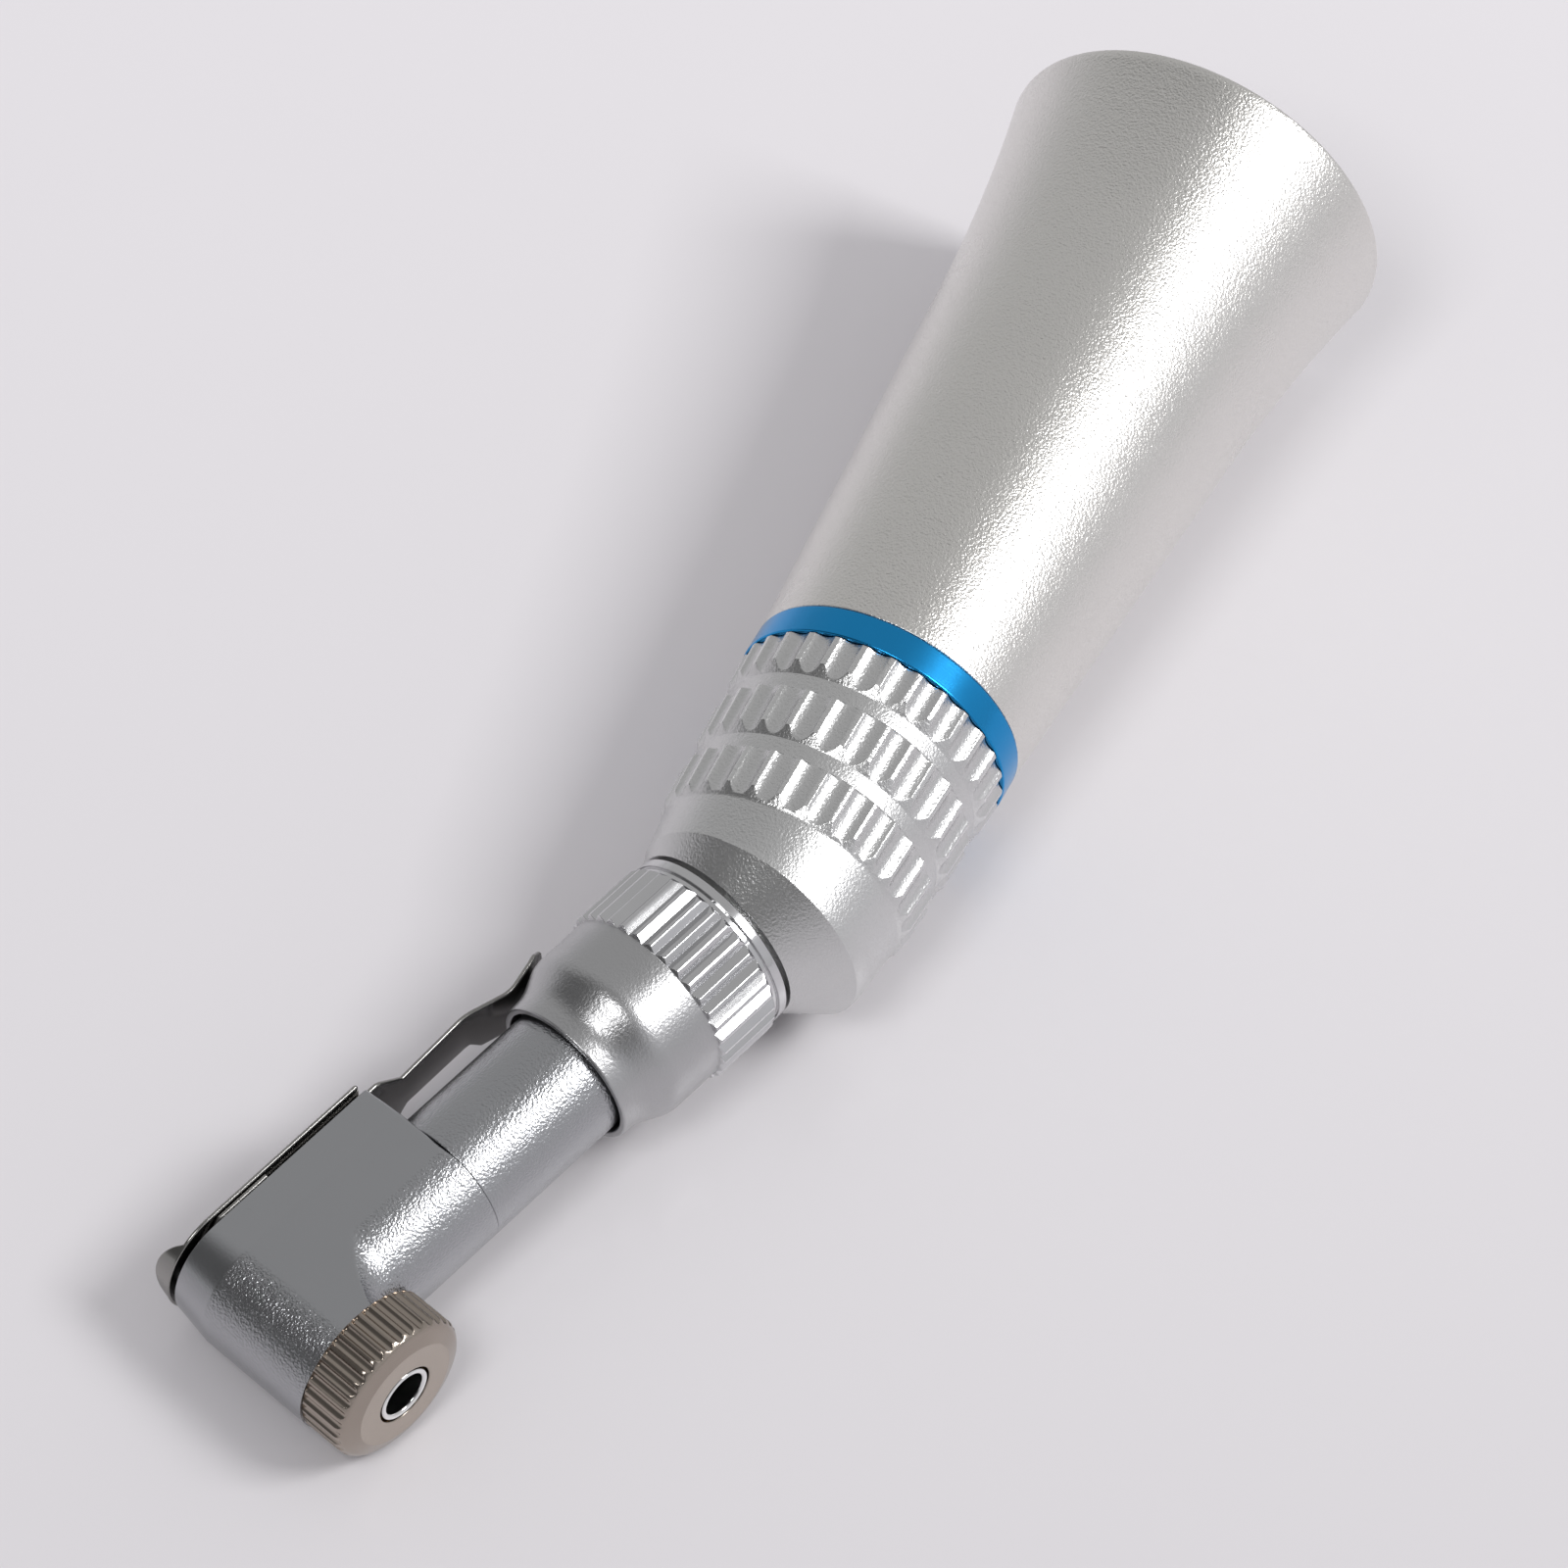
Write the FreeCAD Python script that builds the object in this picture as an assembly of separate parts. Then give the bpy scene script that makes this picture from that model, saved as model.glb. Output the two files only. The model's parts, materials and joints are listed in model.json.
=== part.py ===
import FreeCAD, Part
import math
import os

# Latch-type contra-angle handpiece for a slow dental motor.
#
# Three drafting frames are used, all in millimetres.
# Rear frame: +X runs along the rear body towards the motor, the origin is the bend point.
# Neck frame: the same point, with X running along the neck towards the head (called s in
# the names below), Y running the way the bur leaves the head (h) and Z the same.
# Bur frame: the neck frame moved to the bur, with X running along the bur the way it leaves.
# The last step lays the whole handpiece on its side on the floor.

V = FreeCAD.Vector
ORIGIN = V(0, 0, 0)

# Overall layout
bend_angle = 16.0
rest_pitch = 4.49
rest_roll = -3.83
run_gap = 0.03
seat_gap = 0.01
open_gap = 0.25
edge_break = 0.1
past = 1.0
far = 25.0

# Rear sleeve
sleeve_front_x = 11.2
sleeve_rear_x = 48.1
sleeve_front_r = 7.45
sleeve_rim_r = 10.75
sleeve_cone_angle = 3.66
flare_start_x = 34.5
sleeve_wall = 1.0
rim_lip = 0.8
rim_round = 0.3
sleeve_bore_r = 6.5
sleeve_bulkhead_x = 33.0
sleeve_thread_r = 7.3
lock_nut_length = 2.2
lock_nut_hole_gap = 0.6
lock_nut_slot_depth = 1.0
lock_nut_slot_half = 0.6
lock_nut_slots = 4

# Blue band and grip
band_width = 1.7
band_edge = 0.08
band_seat_gap = 0.05
grip_cone_slope = 0.05
row_count = 3
row_length = 2.4
row_pitch = 3.87
row_ring_length = 0.85
row_step = 0.3
row_front_chamfer = 0.65
row_rear_chamfer = 0.15
flute_count = 30
flute_depth = 0.26
flute_cutter_r = 1.0
dome_shoulder_r = 3.0
dome_front_x = -6.2
dome_top_r = 6.4
front_face_s = 5.0
front_face_step = 0.03
front_cone_angle = 40.0

# Motor socket
socket_front_x = 17.0
motor_bore_r = 4.0
motor_bore_length = 8.8
motor_relief_r = 4.2
motor_mouth = 0.4
socket_wall = 1.0
snap_wire = 0.5
snap_side_gap = 0.2
snap_groove_depth = 0.2
snap_ring_grip = 0.1
snap_mouth_half = 0.8
snap_ring_setback = 2.4

# Rear shaft and its bearings
rear_shaft_r = 1.5
rear_bearing_r = 4.0
rear_bearing_width = 2.2
rear_bearing_x = 3.5
bearing_spacing = 10.0
lock_ring_length = 1.2
lock_ring_wall = 0.9
lock_slot_half = 0.4
lock_slot_depth = 0.6
spacer_wall = 0.55
rear_ball_r = 0.6
ball_count = 7
ball_gap = 0.03
ball_shoulder_share = 0.55
dog_r = 1.9
dog_length = 5.0
dog_setback = 0.4
dog_slot = 0.9
dog_slot_depth = 2.4
dog_chamfer = 0.3
shaft_shoulder_height = 0.5
shaft_shoulder_length = 0.8
shaft_nose_x = 1.3

# Bend gears
bend_teeth = 14
bend_gear_r = 3.0
bend_face = 1.25
bend_backlash = 0.05
rear_gear_hub_r = 2.1
front_gear_hub_r = 1.65
gear_cavity_r = 3.6
gear_cavity_depth = 1.6

# Front shaft and its bearings
front_shaft_r = 1.2
front_bearing_r = 3.0
front_bearing_width = 1.9
front_bearing_s = 3.6
front_ball_r = 0.42
front_shaft_end_s = 9.6
tang_half = 0.45
tang_length = 1.3
tang_end_gap = 0.1

# Spigot and head lock collar
spigot_r = 4.2
spigot_bore_r = 3.0
spigot_end_s = 13.4
spigot_chamfer = 0.2
collar_start_s = 5.25
collar_turn_gap = 0.06
collar_wall = 0.66
collar_rib_height = 0.28
collar_flange_height = 0.13
collar_flange_length = 0.55
collar_relief_length = 0.3
collar_rib_chamfer = 0.22
collar_rib_end_s = 9.85
collar_groove_count = 35
collar_groove_depth = 0.3
collar_groove_half = 0.405
collar_chamfer = 0.12
nose_shoulder_s = 12.6
nose_turn_s = 13.7
nose_turn_drop = 0.32
nose_waist_s = 15.1
nose_waist_r = 4.13
nose_lip_r = 4.08
nose_end_s = 15.8
nose_bore_r = 3.72
snap_ring_s = 11.4
snap_ring_width = 0.5
snap_ring_groove = 0.3
snap_ring_side_gap = 0.05
snap_ring_split_half = 0.9
collet_gap = 0.08
collet_slits = 6
collet_slit_half = 0.15
collet_slit_start = 0.4

# Neck
neck_r = 3.5
neck_plug_r = 2.96
neck_plug_start_s = 7.8
neck_shoulder_s = 15.2
neck_seam_s = 24.0
neck_bore_r = 2.3
neck_tongue_length = 3.5
neck_shaft_r = 1.0
neck_shaft_reach = 0.55
neck_bush_length = 2.6
neck_ring_s = 10.6
neck_ring_wire = 0.24
neck_ring_half = 0.3
neck_bush_setback = 0.8
key_r = 0.45
key_s = 8.9
key_slide_gap = 0.05
key_end_gap = 0.12

# Head
bur_s = 33.6
nose_centre_s = 34.2
head_crease_h = -2.8
head_top_h = -5.08
head_draft = 9.0
head_fillet_s = 30.0
head_fillet_r = 2.6
cap_height = 2.91
cap_r = 4.0
cap_face_r = 2.95
cap_cone_angle = 20.5
cap_edge_r = 0.58
cap_wall = 0.85
cap_knurl_count = 36
cap_knurl_depth = 0.16
cap_knurl_r = 0.3
cap_thread_r = 3.0
cap_thread_length = 0.9
cap_thread_runout = 0.05
head_cavity_r = 2.82
upper_bush_r = 2.2
upper_bush_length = 1.4

# Bur tube and head gears
shank_r = 1.175
shank_gap = 0.015
bur_tube_r = 1.5
bur_tube_top_h = -4.45
bur_tube_lead = 0.12
bur_eye_gap = 0.12
head_teeth = 12
head_gear_r = 2.4
head_face = 0.85
head_backlash = 0.05
bur_gear_hub_r = 1.95
bur_gear_hub_length = 0.66
pinion_hub_r = 1.7
pinion_hub_length = 1.9
lower_bush_r = 2.28
lower_bush_rise = 0.1

# Bur latch
latch_gap = 0.35
latch_thickness = 0.25
latch_swing = 18.0
latch_eye_gap = 0.075
latch_slot_half = 0.75
latch_front_s = 34.8
latch_eye_side = 3.1
latch_nose_side = 1.1
latch_nose_corner = 0.5
latch_shoulder_s = 30.4
plate_half_width = 2.45
plate_rear_s = 23.2
strip_start_s = 21.7
strip_start_half = 1.15
strip_half_width = 1.3
strip_lift = 0.15
tab_start_s = 17.2
tab_broad_s = 16.6
tab_half_width = 1.95
tab_dip_s = 14.65
tab_dip = 0.56
tab_rise_s = 13.4
tab_rise = 0.24
tab_lip_s = 12.6
tab_lip = 0.04
tab_tip_s = 11.9
tab_tip_rise = 0.25
tab_corner = 0.5
cover_thickness = 0.22
cover_half_width = 3.2
cover_rear_s = 24.2
cover_lip_height = 0.85
cover_lip_wall = 0.22
cover_lip_curve_r = 2.0
cover_lip_angle = 28.0
cover_boss_r = 0.65
cover_screw_s = 36.1
cover_screw_r = 0.4
cover_screw_head_r = 0.7
cover_screw_head = 0.25
cover_screw_depth = 0.75
pivot_s = 28.4
pivot_r = 1.0
pivot_head_r = 1.6
pivot_head = 0.45
pivot_thread_r = 0.7
pivot_depth = 1.6
screw_slot_half = 0.15
screw_head_slope = 0.25
screw_head_rim = 0.2


# Where each frame sits
neck_place = FreeCAD.Placement(ORIGIN, FreeCAD.Rotation(V(0, 0, 1), 180.0 - bend_angle))
bur_turn = FreeCAD.Rotation(V(0, 0, 1), 90.0)


def moved(shape, placement):
    """A copy of a shape carried by a placement."""
    result = shape.copy()
    result.Placement = placement.multiply(result.Placement)
    return result


def in_neck(shape):
    """Move a shape drawn in the neck frame into the rear frame."""
    return moved(shape, neck_place)


def on_bur(shape, s=None):
    """Stand a shape drawn along X up along h, at the bur or at another place on the neck."""
    place = FreeCAD.Placement(V(bur_s if s is None else s, 0, 0), bur_turn)
    return moved(shape, place)


def turned(*path):
    """A solid of revolution about X. A corner is (x, r). An arc is (x, r, mid_x, mid_r)."""
    edges = []
    first = V(path[0][0], path[0][1], 0)
    here = first
    for step in path[1:]:
        there = V(step[0], step[1], 0)
        if len(step) == 4:
            edges.append(Part.Arc(here, V(step[2], step[3], 0), there).toShape())
        else:
            edges.append(Part.LineSegment(here, there).toShape())
        here = there
    edges.append(Part.LineSegment(here, first).toShape())
    face = Part.Face(Part.Wire(edges))
    return face.revolve(ORIGIN, V(1, 0, 0), 360.0)


def tube(x0, x1, inner, outer):
    """A plain ring or tube about X."""
    return turned((x0, inner), (x0, outer), (x1, outer), (x1, inner))


def rod(x0, x1, radius):
    """A plain round bar about X."""
    return Part.makeCylinder(radius, x1 - x0, V(x0, 0, 0), V(1, 0, 0))


def block(x0, x1, y0, y1, z0, z1):
    """A plain box between two corners."""
    return Part.makeBox(x1 - x0, y1 - y0, z1 - z0, V(x0, y0, z0))


def around(tool, count, start=0.0):
    """Copies of one tool, evenly round X."""
    step = 360.0 / count
    turns = [FreeCAD.Rotation(V(1, 0, 0), start + step * i) for i in range(count)]
    return [moved(tool, FreeCAD.Placement(ORIGIN, turn)) for turn in turns]


def joined(shapes):
    """One clean solid from several that meet."""
    return shapes[0].fuse(shapes[1:]).removeSplitter()


def arc_through(x0, r0, slope, x1, r1):
    """The middle of the arc that leaves (x0, r0) at a slope and ends at (x1, r1)."""
    angle = math.atan(slope)
    along = (x1 - x0) * math.cos(angle) + (r1 - r0) * math.sin(angle)
    aside = (r1 - r0) * math.cos(angle) - (x1 - x0) * math.sin(angle)
    radius = (along * along + aside * aside) / (2.0 * aside)
    half = math.atan2(aside, along)
    mid_along = radius * math.sin(half)
    mid_aside = radius * (1.0 - math.cos(half))
    mid_x = x0 + mid_along * math.cos(angle) - mid_aside * math.sin(angle)
    mid_r = r0 + mid_along * math.sin(angle) + mid_aside * math.cos(angle)
    return mid_x, mid_r


# Rear sleeve, blue band and motor socket
cone_slope = math.tan(math.radians(sleeve_cone_angle))
flare_start_r = sleeve_front_r + cone_slope * (flare_start_x - sleeve_front_x)
band_front_x = sleeve_front_x - band_width
lock_nut_x = sleeve_bulkhead_x + lock_nut_length


def rear_sleeve():
    """The long cone that flares to the motor's mouth, with its rounded rim."""
    round_x = sleeve_rear_x - rim_round
    round_mid = rim_round * (1.0 - math.sqrt(0.5))
    rim_inner_r = sleeve_rim_r - rim_lip
    mouth_r = sleeve_front_r + cone_slope * (lock_nut_x - sleeve_front_x) - sleeve_wall
    outer_mid = arc_through(flare_start_x, flare_start_r, cone_slope, round_x, sleeve_rim_r)
    inner_mid = arc_through(lock_nut_x, mouth_r, cone_slope, round_x, rim_inner_r)
    return turned(
        (sleeve_front_x, sleeve_bore_r),
        (sleeve_front_x, sleeve_front_r),
        (flare_start_x, flare_start_r),
        (round_x, sleeve_rim_r) + outer_mid,
        (sleeve_rear_x, sleeve_rim_r - rim_round,
         sleeve_rear_x - round_mid, sleeve_rim_r - round_mid),
        (sleeve_rear_x, rim_inner_r + rim_round),
        (round_x, rim_inner_r,
         sleeve_rear_x - round_mid, rim_inner_r + round_mid),
        (lock_nut_x, mouth_r) + inner_mid,
        (lock_nut_x, sleeve_thread_r),
        (sleeve_bulkhead_x, sleeve_thread_r),
        (sleeve_bulkhead_x, sleeve_bore_r),
    )


def blue_band():
    """The colour ring, held between the sleeve and the grip."""
    return turned(
        (band_front_x, sleeve_bore_r),
        (band_front_x, sleeve_front_r - band_edge),
        (band_front_x + band_edge, sleeve_front_r),
        (sleeve_front_x - band_edge, sleeve_front_r),
        (sleeve_front_x, sleeve_front_r - band_edge),
        (sleeve_front_x, sleeve_bore_r),
    )


motor_bore_x = sleeve_bulkhead_x - motor_bore_length
snap_groove_end_x = motor_bore_x - snap_ring_setback
snap_groove_x = snap_groove_end_x - 2.0 * snap_wire
snap_groove_r = motor_relief_r + snap_groove_depth


def motor_socket():
    """The tube that takes the motor's nose, relieved and grooved behind its bore."""
    outer = sleeve_bore_r - seat_gap
    shaft_hole = dog_r + open_gap
    return turned(
        (socket_front_x, shaft_hole),
        (socket_front_x, outer),
        (sleeve_bulkhead_x, outer),
        (sleeve_bulkhead_x, motor_bore_r + motor_mouth),
        (sleeve_bulkhead_x - motor_mouth, motor_bore_r),
        (motor_bore_x, motor_bore_r),
        (motor_bore_x, motor_relief_r),
        (snap_groove_end_x, motor_relief_r),
        (snap_groove_end_x, snap_groove_r),
        (snap_groove_x, snap_groove_r),
        (snap_groove_x, motor_relief_r),
        (socket_front_x + socket_wall, motor_relief_r),
        (socket_front_x + socket_wall, shaft_hole),
    )


def socket_lock_nut():
    """The slotted nut that holds the socket in the sleeve."""
    nut = tube(sleeve_bulkhead_x, lock_nut_x, motor_bore_r + lock_nut_hole_gap,
               sleeve_thread_r - seat_gap)
    slot = block(lock_nut_x - lock_nut_slot_depth, lock_nut_x + past,
                 -lock_nut_slot_half, lock_nut_slot_half, motor_bore_r, sleeve_thread_r)
    return nut.cut(around(slot, lock_nut_slots))


def socket_snap_ring():
    """The split wire ring that clicks on the motor's nose."""
    ring = tube(snap_groove_x + snap_side_gap, snap_groove_end_x - snap_side_gap,
                motor_bore_r - snap_ring_grip, snap_groove_r - seat_gap)
    mouth = block(snap_groove_x, snap_groove_end_x, -snap_mouth_half, snap_mouth_half,
                  0.0, sleeve_bore_r)
    return ring.cut(mouth)


# Grip body
def crest_r(x):
    """The radius of the flute crests, a slim cone that starts at the blue band."""
    return sleeve_front_r - grip_cone_slope * (band_front_x - x)


row_front_x = [band_front_x - band_seat_gap - row_length - row_pitch * i for i in range(row_count)]
row_rear_x = [band_front_x - band_seat_gap] + [front - row_ring_length for front in row_front_x[:-1]]
spigot_key_r = key_r + seat_gap
collar_bore_r = spigot_r + collar_turn_gap
nose_r = collar_bore_r + collar_wall
collar_crest_r = nose_r + collar_rib_height
collar_flange_r = nose_r + collar_flange_height
front_face_r = collar_flange_r - front_face_step


def grip_outline():
    """The turned outline of the grip and its dome, without the flutes."""
    seat_r = sleeve_bore_r - seat_gap
    path = [(socket_front_x - seat_gap, 0.0), (socket_front_x - seat_gap, seat_r)]
    path.append((row_rear_x[0], seat_r))
    path.append((row_rear_x[0], crest_r(row_rear_x[0])))
    for row in range(row_count):
        if row > 0:
            rear = row_rear_x[row]
            path.append((rear, crest_r(rear) - row_step))
            path.append((rear - row_rear_chamfer, crest_r(rear - row_rear_chamfer)))
        front = row_front_x[row]
        path.append((front + row_front_chamfer, crest_r(front + row_front_chamfer)))
        path.append((front, crest_r(front) - row_step))
    top_x = dome_front_x + dome_shoulder_r
    diagonal = dome_shoulder_r * math.sqrt(0.5)
    path.append((top_x, dome_top_r))
    path.append((dome_front_x, dome_top_r - dome_shoulder_r,
                 top_x - diagonal, dome_top_r - dome_shoulder_r + diagonal))
    path.append((dome_front_x, 0.0))
    return turned(*path)


def flute_tools():
    """Round cutters laid along the crest cone, one for each flute of the rows."""
    tools = []
    tilt = FreeCAD.Rotation(V(0, 0, 1), math.degrees(math.atan(grip_cone_slope)))
    for front, rear in zip(row_front_x, row_rear_x):
        length = rear - front + 2.0 * edge_break
        start = front - edge_break
        high = crest_r(start) - flute_depth + flute_cutter_r
        cutter = rod(0.0, length, flute_cutter_r)
        tools += around(moved(cutter, FreeCAD.Placement(V(start, high, 0), tilt)), flute_count)
    return tools


def grip_body():
    """The fluted grip: its dome cut to the front cone, with the spigot and both bores."""
    cone_back_r = front_face_r + (front_face_s + far) * math.tan(math.radians(front_cone_angle))
    front_cut = in_neck(turned((front_face_s, 0.0), (front_face_s, front_face_r),
                               (-far, cone_back_r), (-far, 0.0)))
    body = grip_outline().common(front_cut)
    groove_end_s = snap_ring_s + snap_ring_width
    groove_floor_r = spigot_r - snap_ring_groove
    spigot = in_neck(turned(
        (front_face_s - past, 0.0),
        (front_face_s - past, spigot_r),
        (snap_ring_s, spigot_r),
        (snap_ring_s, groove_floor_r),
        (groove_end_s, groove_floor_r),
        (groove_end_s, spigot_r),
        (spigot_end_s - spigot_chamfer, spigot_r),
        (spigot_end_s, spigot_r - spigot_chamfer),
        (spigot_end_s, 0.0),
    ))
    rear_bore = rod(rear_bearing_x - edge_break, far, rear_bearing_r)
    gear_room = rod(-gear_cavity_depth, rear_bearing_x, gear_cavity_r)
    front_room = in_neck(rod(-gear_cavity_depth, front_bearing_s - edge_break, gear_cavity_r))
    front_bore = in_neck(rod(front_bearing_s - 2.0 * edge_break, spigot_end_s + past, spigot_bore_r))
    key_hole = in_neck(Part.makeCylinder(spigot_key_r, spigot_r + past, V(key_s, 0, 0), V(0, 0, 1)))
    cuts = [rear_bore, gear_room, front_room, front_bore, key_hole]
    return body.fuse(spigot).cut(cuts + flute_tools())


# Bearings
def race_rings(x, width, bore, pitch, ball, outside):
    """The inner and outer rings of one ball bearing, each with its groove."""
    groove = ball + ball_gap
    shoulder = ball_shoulder_share * ball
    half = math.sqrt(groove ** 2 - shoulder ** 2)
    middle = x + width / 2.0
    inner = turned((x, bore), (x, pitch - shoulder), (middle - half, pitch - shoulder),
                   (middle + half, pitch - shoulder, middle, pitch - groove),
                   (x + width, pitch - shoulder), (x + width, bore))
    outer = turned((x, outside), (x, pitch + shoulder), (middle - half, pitch + shoulder),
                   (middle + half, pitch + shoulder, middle, pitch + groove),
                   (x + width, pitch + shoulder), (x + width, outside))
    return inner, outer


def race_balls(x, width, pitch, ball):
    """The balls of one bearing, as separate solids."""
    return around(Part.makeSphere(ball, V(x + width / 2.0, 0, pitch)), ball_count)


rear_pitch_r = (rear_shaft_r + rear_bearing_r) / 2.0
front_pitch_r = (front_shaft_r + front_bearing_r) / 2.0
rear_starts = [rear_bearing_x, rear_bearing_x + bearing_spacing]
front_starts = [front_bearing_s, front_bearing_s + front_bearing_width]
rear_pairs = [race_rings(x, rear_bearing_width, rear_shaft_r, rear_pitch_r, rear_ball_r,
                         rear_bearing_r - seat_gap) for x in rear_starts]
front_pairs = [race_rings(s, front_bearing_width, front_shaft_r, front_pitch_r, front_ball_r,
                          front_bearing_r - seat_gap) for s in front_starts]
lock_ring_x = rear_starts[1] + rear_bearing_width


def bearing_spacer():
    """The sleeve that keeps the rear bearings apart."""
    return tube(rear_starts[0] + rear_bearing_width, rear_starts[1],
                rear_bearing_r - spacer_wall, rear_bearing_r - seat_gap)


def bearing_lock_ring():
    """The two-slotted ring that holds the rear bearings in."""
    end_x = lock_ring_x + lock_ring_length
    inner = rear_bearing_r - lock_ring_wall
    ring = tube(lock_ring_x, end_x, inner, rear_bearing_r - seat_gap)
    slot = block(end_x - lock_slot_depth, end_x + past, -lock_slot_half, lock_slot_half,
                 0.0, rear_bearing_r)
    return ring.cut(around(slot, 2))


# Bevel gears
pressure_angle = 20.0
addendum_share = 0.8
dedendum_share = 1.05
tooth_root_sink = 0.06


def bevel_gear(teeth, cone_angle, outer_r, face, hub_r, hub_back, bore, backlash):
    """A straight bevel gear about X with its apex at the origin and its back towards +X.

    The tooth outline is an involute drawn on the back cone, scaled down towards the apex.
    """
    delta = math.radians(cone_angle)
    cone_distance = outer_r / math.sin(delta)
    module = 2.0 * outer_r / teeth
    addendum = addendum_share * module
    dedendum = dedendum_share * module
    pressure = math.radians(pressure_angle)
    virtual_r = outer_r / math.cos(delta)
    base_r = virtual_r * math.cos(pressure)
    half_pitch = math.pi * module / 4.0 - backlash / 2.0
    pitch_involute = math.tan(pressure) - pressure

    def flank(height):
        """Half the tooth's width at a height above the pitch cone."""
        radius = max(virtual_r + height, base_r)
        slant = math.acos(base_r / radius)
        involute = math.tan(slant) - slant
        return (virtual_r + height) * (half_pitch / virtual_r + pitch_involute - involute)

    heights = [-dedendum - tooth_root_sink, -0.5 * dedendum, 0.0, 0.5 * addendum, addendum]
    right = [(flank(height), height) for height in heights]
    outline = right + [(-width, height) for width, height in reversed(right)]

    def section(scale):
        """The tooth's outline at one distance from the apex."""
        corners = []
        for width, height in outline:
            radial = (outer_r + height * math.cos(delta)) * scale
            axial = (cone_distance * math.cos(delta) - height * math.sin(delta)) * scale
            corners.append(V(axial, width * scale, radial))
        return Part.makePolygon(corners + [corners[0]])

    inner_scale = (cone_distance - face) / cone_distance
    tooth = Part.makeLoft([section(1.0), section(inner_scale)], True, True)
    root_x = cone_distance * math.cos(delta) + dedendum * math.sin(delta)
    root_r = outer_r - dedendum * math.cos(delta)
    blank = turned(
        (root_x * inner_scale, bore),
        (root_x * inner_scale, root_r * inner_scale),
        (root_x, root_r),
        (root_x + max(edge_break, (root_r - hub_r) / 3.0), hub_r),
        (hub_back, hub_r),
        (hub_back, bore),
    )
    return blank.fuse(around(tooth, teeth)).removeSplitter()


bend_cone_angle = 90.0 - bend_angle / 2.0
mesh_turn = 180.0 / bend_teeth


def rear_bend_gear():
    """The driving gear of the bend, on the rear shaft."""
    gear = bevel_gear(bend_teeth, bend_cone_angle, bend_gear_r, bend_face, rear_gear_hub_r,
                      rear_bearing_x, rear_shaft_r, bend_backlash)
    return moved(gear, FreeCAD.Placement(ORIGIN, FreeCAD.Rotation(V(1, 0, 0), -90.0)))


def front_bend_gear():
    """The driven gear of the bend, turned by half a tooth to mesh."""
    gear = bevel_gear(bend_teeth, bend_cone_angle, bend_gear_r, bend_face, front_gear_hub_r,
                      front_bearing_s, front_shaft_r, bend_backlash)
    turn = FreeCAD.Rotation(V(1, 0, 0), 90.0 + mesh_turn)
    return in_neck(moved(gear, FreeCAD.Placement(ORIGIN, turn)))


def rear_shaft():
    """The rear shaft, with a shoulder behind its bearing and a slotted dog for the motor."""
    dog_end = motor_bore_x - dog_setback
    dog_start = dog_end - dog_length
    shoulder_x = rear_starts[0] + rear_bearing_width
    shoulder_end = shoulder_x + shaft_shoulder_length
    shoulder_r = rear_shaft_r + shaft_shoulder_height
    shaft = turned(
        (shaft_nose_x, 0.0),
        (shaft_nose_x, rear_shaft_r),
        (shoulder_x, rear_shaft_r),
        (shoulder_x, shoulder_r),
        (shoulder_end, shoulder_r),
        (shoulder_end, rear_shaft_r),
        (dog_start, rear_shaft_r),
        (dog_start, dog_r),
        (dog_end - dog_chamfer, dog_r),
        (dog_end, dog_r - dog_chamfer),
        (dog_end, 0.0),
    )
    slot = block(dog_end - dog_slot_depth, dog_end + past, -dog_slot / 2.0, dog_slot / 2.0,
                 -dog_r - past, dog_r + past)
    return shaft.cut(slot)


def front_shaft():
    """The front shaft, slotted at its end for the neck shaft's tang."""
    shaft = rod(shaft_nose_x, front_shaft_end_s, front_shaft_r)
    slot = block(front_shaft_end_s - tang_length - tang_end_gap, front_shaft_end_s + past,
                 -tang_half - run_gap, tang_half + run_gap, -front_shaft_r - past, front_shaft_r + past)
    return in_neck(shaft.cut(slot))


# Head lock collar
def collar_groove():
    """One straight cutter with a V nose, standing over the collar's top."""
    start = collar_start_s + collar_flange_length
    floor_r = collar_crest_r - collar_groove_depth
    flare = 1.0 + past / collar_groove_depth
    high_r = floor_r + collar_groove_depth * flare
    half = collar_groove_half * flare
    corners = [V(start, 0, floor_r), V(start, half, high_r), V(start, -half, high_r)]
    wedge = Part.Face(Part.makePolygon(corners + [corners[0]]))
    return wedge.extrude(V(collar_rib_end_s + edge_break - start, 0, 0))


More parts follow.
